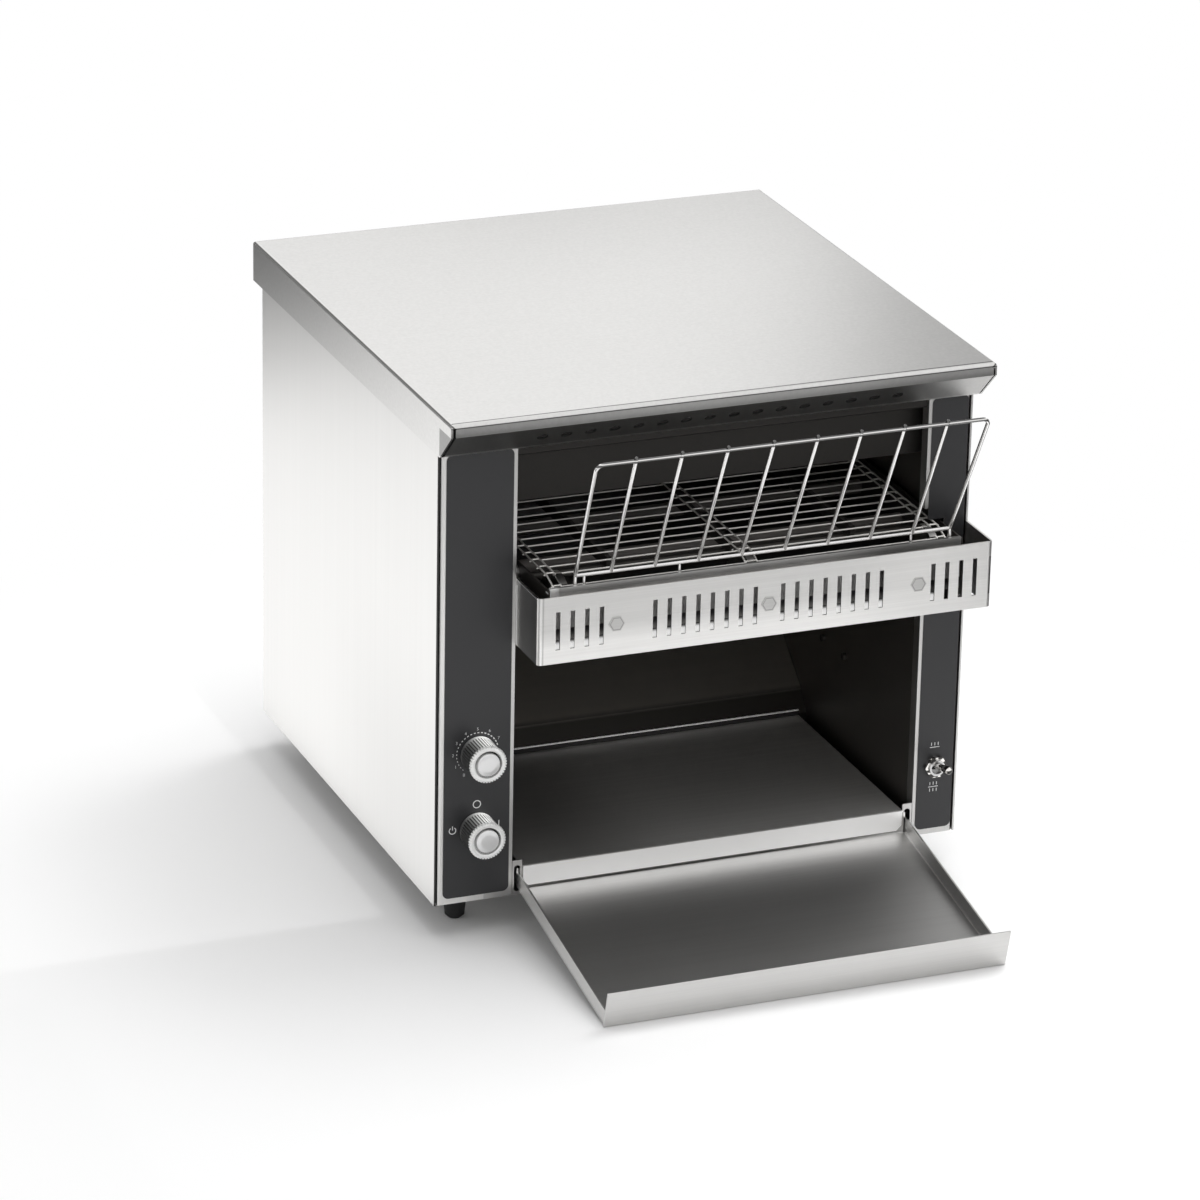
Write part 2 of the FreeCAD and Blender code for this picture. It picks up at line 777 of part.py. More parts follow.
def make_columns():
    """The two front columns, their printed faces and the walls behind them."""
    top = d.cover_top - 2 * sheet - d.fit_gap
    return_low = base_top + d.fit_gap
    left = plate("LeftColumn", "XZ", 0, sheet, rectangle(-column_side, d.foot_height, left_mouth, top))
    for at in (-column_side, left_wall_outer):
        add_plate(left, "YZ", at, sheet, rectangle(0, return_low, d.column_return, top))
    round_edges(left, d.column_bend, edge_near("z", x=-column_side, y=0))
    for height in (d.speed_height, d.power_height):
        cut_circle(left, "XZ", -d.overrun, sheet + 2 * d.overrun, knob_x, height, d.spindle_hole)
    node(left, "left_front_column")

    notch_side = right_mouth + d.notch_depth
    outline = [(right_mouth, d.foot_height), (column_side, d.foot_height), (column_side, top),
               (right_mouth, top), (right_mouth, d.notch_high), (notch_side, d.notch_high),
               (notch_side, d.notch_low), (right_mouth, d.notch_low)]
    right = plate("RightColumn", "XZ", 0, sheet, outline)
    add_plate(right, "YZ", column_side - sheet, sheet, rectangle(0, return_low, d.column_return, top))
    low_return = rectangle(0, return_low, d.column_return, d.wall_step_height)
    high_return = rectangle(0, d.notch_high, d.column_return, top)
    for part_of_return in (low_return, high_return):
        add_plate(right, "YZ", right_mouth, sheet, part_of_return)
    round_edges(right, d.column_bend, edge_near("z", x=column_side, y=0))
    cut_circle(right, "XZ", -d.overrun, sheet + 2 * d.overrun, toggle_x, d.toggle_height,
               d.toggle_bush + 2 * d.running_gap)
    node(right, "right_front_column")

    face_left = -half_width + d.face_bezel_outer + sheet + d.fit_gap
    face_right = left_mouth - d.face_bezel_inner
    face = plate("LeftFace", "XZ", -d.face_sheet, d.face_sheet,
                 rectangle(face_left, d.face_bottom, face_right, d.face_top))
    corners = [edge_near("y", x=x, z=z)
               for x in (face_left, face_right) for z in (d.face_bottom, d.face_top)]
    round_edges(face, d.face_corner, any_of(*corners))
    for height in (d.speed_height, d.power_height):
        cut_circle(face, "XZ", -d.face_sheet - d.overrun, d.face_sheet + 2 * d.overrun,
                   knob_x, height, d.spindle_hole)
    node(face, "left_control_face")

    inner = right_mouth + d.face_bezel_inner
    outer = half_width - d.face_bezel_right - sheet - d.fit_gap
    notch_edge = notch_side + d.seam_gap
    outline = [(inner, d.face_bottom), (outer, d.face_bottom), (outer, d.face_top), (inner, d.face_top),
               (inner, d.notch_high + d.seam_gap), (notch_edge, d.notch_high + d.seam_gap),
               (notch_edge, d.notch_low - d.seam_gap), (inner, d.notch_low - d.seam_gap)]
    face = plate("RightFace", "XZ", -d.face_sheet, d.face_sheet, outline)
    corners = [edge_near("y", x=x, z=z) for x in (inner, outer) for z in (d.face_bottom, d.face_top)]
    round_edges(face, d.face_corner, any_of(*corners))
    cut_circle(face, "XZ", -d.face_sheet - d.overrun, d.face_sheet + 2 * d.overrun,
               toggle_x, d.toggle_height, d.toggle_bush + 2 * d.running_gap)
    node(face, "right_control_face")

    heater_hole = d.heater_diameter + 2 * d.fit_gap
    wall = plate("LeftWall", "YZ", left_wall_outer, sheet,
                 rectangle(wall_front, base_top, wall_back, wall_top))
    through = sheet + 2 * d.overrun
    cut_from = left_wall_outer - d.overrun
    for height, places in heater_rows:
        for y in places:
            cut_circle(wall, "YZ", cut_from, through, y, height, heater_hole)
    cut_circle(wall, "YZ", cut_from, through, rear_shaft, shaft_height, d.drive_wall_hole)
    node(wall, "left_inner_wall")

    step_low = d.wall_step_height
    step_high = step_low + sheet
    profile = [(right_mouth, base_top), (right_mouth + sheet, base_top), (right_mouth + sheet, step_low),
               (right_upper_wall + sheet, step_low), (right_upper_wall + sheet, wall_top),
               (right_upper_wall, wall_top), (right_upper_wall, step_high), (right_mouth, step_high)]
    wall = plate("RightWall", "XZ", wall_front, wall_back - wall_front, profile)
    for height, places in heater_rows:
        for y in places:
            cut_circle(wall, "YZ", right_upper_wall - d.overrun, through, y, height, heater_hole)
    node(wall, "right_inner_wall")

    screws = []
    for i in range(2):
        y = d.chute_screw_back + i * d.chute_screw_spacing
        screws.append(rod("WallScrew", "X", right_mouth - d.screw_head_height, right_mouth, y,
                          d.chute_screw_height, d.chute_screw_head))
    node(group("WallScrews", screws), "wall_screws")


def make_landing():
    """The landing pan, its ledge, the rear chute and the product tray."""
    floor_low = d.pan_top - thin
    pan_left = left_mouth + d.ear_width + d.pan_inset
    pan_right = right_mouth - d.ear_width - d.pan_inset
    lip_front = -d.fit_gap - thin
    pan = plate("Pan", "XY", floor_low, thin, rectangle(pan_left, lip_front, pan_right, d.pan_depth))
    c = d.pan_lip_corner
    lip_left = left_mouth + d.pan_lip_gap_left
    lip_right = right_mouth - d.pan_lip_gap_right
    lip = [(lip_left + c, d.pan_lip_low), (lip_right - c, d.pan_lip_low), (lip_right, d.pan_lip_low + c),
           (lip_right, d.pan_top), (lip_left, d.pan_top), (lip_left, d.pan_lip_low + c)]
    add_plate(pan, "XZ", lip_front, thin, lip)
    add_plate(pan, "XZ", d.pan_depth - thin, thin,
              rectangle(pan_left, floor_low, pan_right, d.pan_top + d.pan_upstand))
    node(pan, "crumb_pan")

    ledge_back = d.pan_depth - d.ledge_inset
    ledge_front = ledge_back - d.ledge_depth
    ledge_top = floor_low - d.fit_gap
    profile = [(ledge_front, ledge_top - thin), (ledge_back - thin, ledge_top - thin),
               (ledge_back - thin, base_top + thin), (ledge_front, base_top + thin),
               (ledge_front, base_top), (ledge_back, base_top), (ledge_back, ledge_top),
               (ledge_front, ledge_top)]
    ledge = plate("Ledge", "YZ", pan_left, pan_right - pan_left, profile)
    node(ledge, "pan_ledge")

    foot = d.chute_foot_back
    high_back = rear_inside - d.chute_rear_gap
    slope_rise = d.chute_high_height - d.chute_low_height
    slope_run = high_back - d.chute_low_back
    slant = thin * math.hypot(float(slope_rise), float(slope_run)) / float(slope_run)
    profile = [(foot, base_top), (foot + thin, base_top), (foot + thin, d.pan_top - thin),
               (d.chute_low_back, d.chute_low_height - slant),
               (high_back + thin, d.chute_high_height - thin),
               (high_back + thin, d.chute_top), (high_back, d.chute_top),
               (high_back, d.chute_high_height), (d.chute_low_back, d.chute_low_height),
               (foot, d.pan_top)]
    chute = plate("Chute", "YZ", left_mouth + d.fit_gap, right_mouth - left_mouth - 2 * d.fit_gap, profile)
    node(chute, "rear_chute")

    left = tray_left
    right = tray_right
    rear = -d.tray_rear
    low_front = -d.tray_floor_reach
    high_front = low_front - d.tray_lip_lean
    profile = [(rear, d.tray_rear_height), (low_front, d.tray_front_height),
               (high_front, d.tray_lip_height), (high_front + sheet, d.tray_lip_height),
               (low_front + sheet, d.tray_front_height + sheet), (rear, d.tray_rear_height + sheet)]
    tray = plate("Tray", "YZ", left, right - left, profile)
    lip = [(low_front, d.tray_front_height), (high_front, d.tray_lip_height),
           (high_front + sheet, d.tray_lip_height), (low_front + sheet, d.tray_front_height)]
    add_plate(tray, "YZ", left - d.tray_lip_over, right - left + 2 * d.tray_lip_over, lip)
    hook_top = d.tray_rear_height + d.tray_flange
    for at in (left, right - sheet):
        flange = [(rear, d.tray_rear_height), (low_front, d.tray_front_height),
                  (low_front, d.tray_front_height + d.tray_flange), (rear, hook_top)]
        add_plate(tray, "YZ", at, sheet, flange)
        hook = [(rear, d.hook_low), (sheet, d.hook_low), (d.hook_reach, d.hook_low + d.hook_rise),
                (d.hook_reach, d.hook_high), (d.hook_tail, d.hook_high), (d.hook_tail, hook_top),
                (rear, hook_top)]
        add_plate(tray, "YZ", at, sheet, hook)
    node(tray, "product_tray")


def make_guard():
    """The slotted front guard, its studs and the nose channel behind it."""
    out = -d.guard_out
    height = d.guard_high - d.guard_low
    outline = [(left_mouth, d.column_return), (left_mouth, out), (half_width, out), (half_width, 0),
               (half_width - sheet, 0), (half_width - sheet, out + sheet),
               (left_mouth + sheet, out + sheet), (left_mouth + sheet, d.column_return)]
    guard = plate("Guard", "XY", d.guard_low, height, outline)
    bends = any_of(edge_near("z", x=left_mouth, y=out), edge_near("z", x=half_width, y=out))
    round_edges(guard, d.guard_bend, bends)
    cut_from = out - d.overrun
    depth = sheet + 2 * d.overrun
    length = half_width - left_mouth
    pitch = length * d.guard_pitch_share
    inner = length * d.guard_inner_share
    outer = length * d.guard_outer_share
    rows = ((-inner - (INNER_GUARD_SLOTS - 1) * pitch, INNER_GUARD_SLOTS),
            (inner, INNER_GUARD_SLOTS),
            (-outer - (OUTER_GUARD_SLOTS - 1) * pitch, OUTER_GUARD_SLOTS),
            (outer, OUTER_GUARD_SLOTS))
    half_slot = d.guard_slot_width / 2
    centre = (left_mouth + half_width) / 2 + d.guard_pattern_shift
    for start, count in rows:
        x = centre + start
        slot = cut_outline(guard, "XZ", cut_from, depth,
                           rectangle(x - half_slot, d.guard_slot_low, x + half_slot, d.guard_slot_high))
        row_of(guard, slot, "H_Axis", pitch, count)
    stud_places = [centre + i * length * d.guard_stud_share for i in (-1, 0, 1)]
    for x in stud_places:
        cut_circle(guard, "XZ", cut_from, depth, x, d.guard_stud_height,
                   d.guard_stud_hole + 2 * d.running_gap)
    node(guard, "bumper_guard")

    studs = []
    z = d.guard_stud_height
    for x in stud_places:
        head = hexagon("StudHead", "Y", out - d.guard_stud_head, out, x, z, d.guard_stud_flats)
        shank = rod("StudShank", "Y", out, out + sheet, x, z, d.guard_stud_hole)
        spacer = rod("StudSpacer", "Y", out + sheet, -d.channel_out, x, z, d.guard_spacer)
        studs.append(fuse("Stud", [head, shank, spacer]))
    node(group("Studs", studs), "guard_studs")

    front = -d.channel_out
    hem = front + d.channel_hem
    shelf = d.channel_shelf_height
    profile = [(front, d.channel_low), (front + sheet, d.channel_low), (front + sheet, shelf),
               (-d.channel_shelf_back, shelf), (-d.channel_shelf_back, shelf + sheet), (hem, shelf + sheet),
               (hem, d.channel_top), (front, d.channel_top)]
    length = plate_right_in - plate_left_in
    channel = plate("Channel", "YZ", plate_left_in, length, profile)
    for x in rack_feet():
        cut_circle(channel, "XY", shelf - d.overrun, sheet + 2 * d.overrun, x, -d.rack_back,
                   d.rack_wire + 2 * d.fit_gap)
    node(channel, "nose_channel")


def rack_feet():
    return (rack_left, rack_right)


def make_conveyor_frame():
    """The side plates of the conveyor, with the shield, reflector and rails between them."""
    heater_hole = d.heater_diameter + 2 * d.fit_gap
    bush_hole = d.bush_diameter + 2 * d.running_gap
    front = -d.channel_out
    nose = d.plate_nose_cut
    outline = [(front, d.plate_top), (front, d.plate_low + nose), (front + nose, d.plate_low),
               (plate_rear, d.plate_low), (plate_rear, d.plate_top)]
    for label, at in (("left_conveyor_plate", plate_left_out), ("right_conveyor_plate", plate_right_in)):
        side = plate(label, "YZ", at, sheet, outline)
        for y in lower_heater_places:
            cut_circle(side, "YZ", at - d.overrun, sheet + 2 * d.overrun, y, d.lower_heater_height,
                       heater_hole)
        for y in (front_shaft, rear_shaft):
            cut_circle(side, "YZ", at - d.overrun, sheet + 2 * d.overrun, y, shaft_height, bush_hole)
        node(side, label)

    inner = (plate_left_in, plate_right_in)
    shield = plate("Shield", "XY", d.shield_height, thin,
                   rectangle(inner[0], front + nose + d.overrun, inner[1], plate_rear - d.shield_rear_gap))
    node(shield, "belt_heat_shield")

    low = d.reflector_height
    up = low + d.reflector_upstand
    far = rear_shaft - d.reflector_rear_gap
    near = d.reflector_front
    profile = [(near, low), (far, low), (far, up), (far - thin, up), (far - thin, low + thin),
               (near + thin, low + thin), (near + thin, up), (near, up)]
    reflector = plate("LowerReflector", "YZ", inner[0], inner[1] - inner[0], profile)
    node(reflector, "lower_reflector")

    rail_top = d.belt_height - d.rail_below
    rail_low = rail_top - d.rail_height
    rail_rear = rear_shaft - d.rail_rear_gap
    rod_height = rail_low - d.cross_rod / 2 + d.cross_rod_sink
    pieces = []
    for i in (-1, 0, 1):
        x = belt_centre + i * d.rail_spacing
        pieces.append(block("Rail", (x - d.rail_width / 2, x + d.rail_width / 2),
                            (d.rail_front, rail_rear), (rail_low, rail_top)))
    for y in (d.rail_front + d.cross_rod_inset, rail_rear - d.cross_rod_inset):
        pieces.append(rod("CrossRod", "X", inner[0], inner[1], y, rod_height, d.cross_rod))
    node(fuse("Rails", pieces), "belt_support_rails")

    spacers = []
    gaps = ((left_mouth, plate_left_out), (plate_right_out, right_upper_wall))
    for start, end in gaps:
        for y in (d.spacer_front, rear_shaft - d.spacer_rear_gap):
            for z in (d.spacer_low, d.spacer_high):
                spacers.append(rod("Spacer", "X", start, end, y, z, d.spacer_diameter))
    node(group("Spacers", spacers), "conveyor_spacers")

    bushes = []
    flange = d.bush_flange_width
    for y in (front_shaft, rear_shaft):
        for outer, inward in ((plate_left_out, 1), (plate_right_out, -1)):
            far = outer - inward * flange
            near = outer + inward * (sheet + d.bush_inside)
            ends = (outer, near) if inward > 0 else (near, outer)
            lips = (far, outer) if inward > 0 else (outer, far)
            barrel = rod("BushBarrel", "X", ends[0], ends[1], y, shaft_height, d.bush_diameter)
            lip = rod("BushLip", "X", lips[0], lips[1], y, shaft_height, d.bush_flange)
            bore = rod("BushBore", "X", min(ends[0], lips[0], key=float) - d.overrun,
                       max(ends[1], lips[1], key=float) + d.overrun, y, shaft_height,
                       d.shaft_diameter + 2 * d.running_gap)
            bushes.append(cut("Bush", fuse("BushBlank", [barrel, lip]), [bore]))
    node(group("Bushes", bushes), "shaft_bushes")


def sprocket(name):
    """One wire-belt sprocket on the origin, turned so that a gullet is straight up."""
    body = doc.addObject("PartDesign::Body", name)
    sketch = new_sketch(body, "YZ", -d.sprocket_width / 2)
    draw_circle(sketch, 0, 0, 2 * (pitch_radius + d.sprocket_tip))
    disc = body.newObject("PartDesign::Pad", "Disc")
    disc.Profile = sketch
    link(disc, "Length", d.sprocket_width)
    hub_sketch = new_sketch(body, "YZ", -d.sprocket_hub_width / 2)
    draw_circle(hub_sketch, 0, 0, d.sprocket_hub)
    hub = body.newObject("PartDesign::Pad", "Hub")
    hub.Profile = hub_sketch
    link(hub, "Length", d.sprocket_hub_width)
    cut_circle(body, "YZ", -d.sprocket_hub_width, 2 * d.sprocket_hub_width, 0, 0,
               d.shaft_diameter + 2 * d.running_gap)
    half = d.gullet / 2
    low = pitch_radius - half
    bottom = [(-half, low + half / 2), (-half / 2, low), (half / 2, low), (half, low + half / 2),
              (half, pitch_radius + d.overrun), (-half, pitch_radius + d.overrun)]
    gullet = cut_outline(body, "YZ", -d.sprocket_width, 2 * d.sprocket_width, bottom)
    ring = body.newObject("PartDesign::PolarPattern", "Teeth")
    ring.Originals = [gullet]
    x_axis = [f for f in body.Origin.OriginFeatures if f.Role == "X_Axis"][0]
    ring.Axis = (x_axis, [""])
    ring.Angle = 360
    ring.Occurrences = SPROCKET_TEETH
    body.Tip = ring
    return body


def make_shafts():
    """The idler and drive shafts with their sprockets, and the gear motor that turns them."""
    left_end = plate_left_out - d.bush_flange_width - d.shaft_end_left
    right_end = plate_right_out + d.bush_flange_width + d.shaft_end_right
    idler = rod("Idler", "X", left_end, right_end, front_shaft, shaft_height, d.shaft_diameter)
    node(group("IdlerShaft", [idler]), "idler_shaft")
    coupling_end = left_wall_outer - d.coupling_gap
    coupling_start = coupling_end - d.coupling_length
    shaft_left = coupling_start + d.coupling_length / 2 + d.running_gap
    drive = rod("Drive", "X", shaft_left, right_end, rear_shaft, shaft_height, d.shaft_diameter)
    node(group("DriveShaft", [drive]), "drive_shaft")
    for label, y in (("idler_sprockets", front_shaft), ("drive_sprockets", rear_shaft)):
        wheels = [place(sprocket("Sprocket"), x, y, shaft_height) for x in belt_columns]
        node(group(label, wheels), label)

    bore = d.shaft_diameter + 2 * d.running_gap
    hub = cut("Coupling", rod("CouplingBar", "X", coupling_start, coupling_end, rear_shaft, shaft_height,
                              d.coupling_diameter),
              [rod("CouplingBore", "X", coupling_start - d.overrun, coupling_end + d.overrun, rear_shaft,
                   shaft_height, bore)])
    node(hub, "shaft_coupling")

    face = gearbox_face
    output_end = shaft_left - d.running_gap * 2
    output = rod("Output", "X", face - d.output_depth, output_end, rear_shaft, shaft_height,
                 d.shaft_diameter)
    node(group("OutputShaft", [output]), "gearbox_output_shaft")
    half = d.gearbox_size / 2
    box = plate("Gearbox", "YZ", face - d.gearbox_width, d.gearbox_width,
                rectangle(rear_shaft - half, shaft_height - half, rear_shaft + half, shaft_height + half))
    corners = [edge_near("x", y=rear_shaft + sy * half, z=shaft_height + sz * half)
               for sy in (-1, 1) for sz in (-1, 1)]
    round_edges(box, d.gearbox_corner, any_of(*corners))
    cut_circle(box, "YZ", face - d.output_depth - d.fit_gap, d.output_depth + d.fit_gap + d.overrun,
               rear_shaft, shaft_height, bore)
    node(box, "gearbox")

    motor_x = face - d.gearbox_width / 2
    boss_high = shaft_height - half
    boss_low = boss_high - d.motor_boss_length
    can = rod("MotorCan", "Z", boss_low - d.motor_length, boss_low, motor_x, rear_shaft, d.motor_diameter)
    boss = rod("MotorBoss", "Z", boss_low, boss_high, motor_x, rear_shaft, d.motor_boss)
    node(fuse("Motor", [can, boss]), "drive_motor")

    posts = []
    for sy in (-1, 1):
        for sz in (-1, 1):
            posts.append(rod("Post", "X", face, left_wall_outer, rear_shaft + sy * d.standoff_spread,
                             shaft_height + sz * d.standoff_spread, d.standoff_diameter))
    node(group("Posts", posts), "motor_standoffs")


def belt_points():
    """Where the belt's strands lie, in order round the loop, as y and z."""
    radius = float(pitch_radius)
    pitch = float(d.belt_pitch)
    front = float(front_shaft)
    rear = float(rear_shaft)
    middle = float(shaft_height)
    half_turn = SPROCKET_TEETH // 2
    points = []
    for i in range(top_run_pitches):
        points.append((front + i * pitch, middle + radius))
    for i in range(half_turn):
        angle = math.pi / 2 - i * math.pi / half_turn
        points.append((rear + radius * math.cos(angle), middle + radius * math.sin(angle)))
    for i in range(top_run_pitches):
        points.append((rear - i * pitch, middle - radius))
    for i in range(half_turn):
        angle = -math.pi / 2 - i * math.pi / half_turn
        points.append((front + radius * math.cos(angle), middle + radius * math.sin(angle)))
    return points


def belt_strand(here, following):
    """One wire of the belt: a straight strand with three pairs of legs that reach the next one."""
    wire = float(d.belt_wire)
    along = FreeCAD.Vector(0, following[0] - here[0], following[1] - here[1])
    reach = along.Length - wire
    along.normalize()
    lift = X_AXIS.cross(along)
    columns = [float(x) for x in belt_columns]
    half_link = float(d.belt_link_width) / 2
    outline = [(float(belt_left), -wire / 2), (float(belt_right), -wire / 2), (float(belt_right), wire / 2)]
    for column in reversed(columns):
        for leg in (column + half_link, column - half_link):
            outline += [(leg + wire / 2, wire / 2), (leg + wire / 2, reach + wire / 2),
                        (leg - wire / 2, reach + wire / 2), (leg - wire / 2, wire / 2)]
    outline.append((float(belt_left), wire / 2))
    start = FreeCAD.Vector(0, here[0], here[1]) - lift * (wire / 2)
    corners = [start + X_AXIS * x + along * v for x, v in outline]
    face = Part.Face(Part.makePolygon(corners + corners[:1]))
    return face.extrude(lift * wire)


def make_belt():
    points = belt_points()
    strands = [belt_strand(points[i], points[(i + 1) % len(points)]) for i in range(len(points))]
    node(feature("Belt", Part.makeCompound(strands)), "conveyor_belt")


def make_heating():
    """The housing over the belt, its reflector and the heater rods above and below the belt."""
    front = d.housing_front
    roof = d.housing_roof
    brow = d.housing_brow
    profile = [(front, d.housing_low), (front + thin, d.housing_low), (front + thin, roof),
               (housing_rear - thin, roof), (housing_rear - thin, d.housing_low),
               (housing_rear, d.housing_low), (housing_rear, roof + thin), (brow + thin, roof + thin),
               (brow + thin, d.housing_brow_high), (brow, d.housing_brow_high), (brow, roof), (front, roof)]
    start = left_mouth + d.fit_gap
    length = right_upper_wall - d.fit_gap - start
    housing = plate("Housing", "YZ", start, length, profile)
    cut_outline(housing, "XZ", brow - d.overrun, d.overrun + d.column_return + d.fit_gap - brow,
                rectangle(right_mouth - d.fit_gap, roof - d.overrun, right_upper_wall + d.overrun,
                          d.housing_brow_high + d.overrun))
    round_edges(housing, d.cover_bend, edge_near("x", y=brow, z=roof))
    node(housing, "upper_heater_housing")

    low = d.upper_reflector_low
    high = d.upper_reflector_high
    slope = d.upper_reflector_slope
    near = d.upper_reflector_front
    far = housing_rear - d.upper_reflector_gap
    stub = roof
    profile = [(near, low), (near + thin, low), (near + slope + thin, high - thin),
               (far - slope - thin, high - thin), (far - thin, low), (far, low), (far - slope, high),
               (far - slope, stub), (far - slope - thin, stub), (far - slope - thin, high),
               (near + slope + thin, high), (near + slope + thin, stub), (near + slope, stub),
               (near + slope, high)]
    reflector = plate("UpperReflector", "YZ", start, length, profile)
    node(reflector, "upper_reflector")

    left = left_wall_outer - d.heater_end
    right = right_upper_wall + sheet + d.heater_end
    rods = []
    caps = []
    for height, places in heater_rows:
        for y in places:
            rods.append(rod("Heater", "X", left, right, y, height, d.heater_diameter))
            caps.append(rod("Cap", "X", left - d.heater_cap_length, left, y, height, d.heater_cap))
            caps.append(rod("Cap", "X", right, right + d.heater_cap_length / 2, y, height, d.heater_cap))
    node(group("Heaters", rods), "heater_rods")
    node(group("Caps", caps), "heater_end_caps")


def make_rack():
    """The wire rack that guides food on to the belt."""
    wire = float(d.rack_wire)
    low = (-float(d.rack_back), float(d.rack_low))
    high = (low[0] - float(d.rack_lean), low[1] + float(d.rack_rise))
    corners = [(float(rack_left), low[0], float(d.rack_foot_height)),
               (float(rack_left), low[0], low[1]),
               (float(rack_left - d.rack_flare_left), high[0], high[1]),
               (float(rack_right + d.rack_flare_right), high[0], high[1]),
               (float(rack_right), low[0], low[1]),
               (float(rack_right), low[0], float(d.rack_foot_height))]
    path = rounded_path([FreeCAD.Vector(*corner) for corner in corners], float(d.rack_bend))
    section = Part.Wire(Part.makeCircle(wire / 2, path.Vertexes[0].Point, Z_AXIS))
    frame = feature("RackFrame", path.makePipeShell([section], True, False))
    pieces = [frame, rod("RackBar", "X", rack_left, rack_right, -d.rack_back, d.rack_low, d.rack_wire)]
    for i in range(RACK_INNER_WIRES):
        x = rack_left + d.rack_first_gap + i * d.rack_wire_pitch
        lean = max(RACK_LEANING_WIRES - i, 0) * float(d.rack_wire_lean)
        along = FreeCAD.Vector(-lean, high[0] - low[0], high[1] - low[1])
        turn = FreeCAD.Rotation(Z_AXIS, along)
        bar = doc.addObject("Part::Cylinder", "RackWire")
        link(bar, "Radius", d.rack_wire / 2)
        bar.Height = along.Length + float(d.rack_wire_stub)
        place(bar, x, -d.rack_back, d.rack_low, turn.Axis, math.degrees(turn.Angle))
        pieces.append(bar)
    drop_end = d.channel_shelf_height + sheet + d.fit_gap
    drops = (rack_left + d.rack_drop_left, rack_left + d.rack_drop_middle, rack_right - d.rack_drop_right)
    for x in drops:
        pieces.append(rod("RackDrop", "Z", drop_end, d.rack_low, x, -d.rack_back, d.rack_drop_wire))
    node(fuse("Rack", pieces), "loading_rack")


def rounded_path(points, radius):
    """Straight runs through the points, joined by arcs of one radius."""
    edges = []
    last = points[0]
    for before, corner, after in zip(points, points[1:], points[2:]):
        back = (before - corner).normalize()
        onward = (after - corner).normalize()
        half = back.getAngle(onward) / 2
        inset = radius / math.tan(half)
        start = corner + back * inset
        end = corner + onward * inset
        bisector = (back + onward).normalize()
        middle = corner + bisector * (radius / math.sin(half) - radius)
        edges.append(Part.makeLine(last, start))
        edges.append(Part.Arc(start, middle, end).toShape())
        last = end
    edges.append(Part.makeLine(last, points[-1]))
    return Part.Wire(edges)


def make_knob(label, height):
    """One fluted knob with its cap, and the spindle that it turns."""
    base = d.knob_base_diameter / 2
    face = d.knob_face_diameter / 2
    ring = d.knob_ring_outer / 2
    cap = d.knob_cap_diameter / 2
    bore = d.spindle_diameter / 2 + d.running_gap
    top = d.knob_length
    floor = top - d.knob_ring_depth
    knob = turned(label, [(bore, 0), (base, 0), (face, top - d.knob_rim), (face - d.knob_rim, top),
                          (ring, top), (ring, floor), (0, floor), (0, d.spindle_front + d.fit_gap),
                          (bore, d.spindle_front + d.fit_gap)])
    flute = cut_circle(knob, "XY", 0, top - 2 * d.knob_rim, base + d.knob_flute_out, 0, d.knob_flute)
    ring_cuts = knob.newObject("PartDesign::PolarPattern", "Flutes")
    ring_cuts.Originals = [flute]
    ring_cuts.Axis = (flute.Profile[0], ["N_Axis"])
    ring_cuts.Angle = 360
    ring_cuts.Occurrences = KNOB_FLUTES
    knob.Tip = ring_cuts
    lift = -(d.face_sheet + d.knob_lift)
    node(knob, label + "_knob", knob_x, lift, height, X_AXIS, 90)
    crown = floor + d.knob_cap_height
    button = turned(label + "Cap", [(0, floor), (cap, floor), (cap, crown - d.knob_cap_dome),
                                    (cap - d.knob_cap_dome, crown), (0, crown)])
    node(button, label + "_knob_cap", knob_x, lift, height, X_AXIS, 90)
    front = lift - d.spindle_front
    spindle = rod(label + "Rod", "Y", front, d.spindle_back, knob_x, height, d.spindle_diameter)
    node(group(label + "Spindle", [spindle]), label + "_spindle")


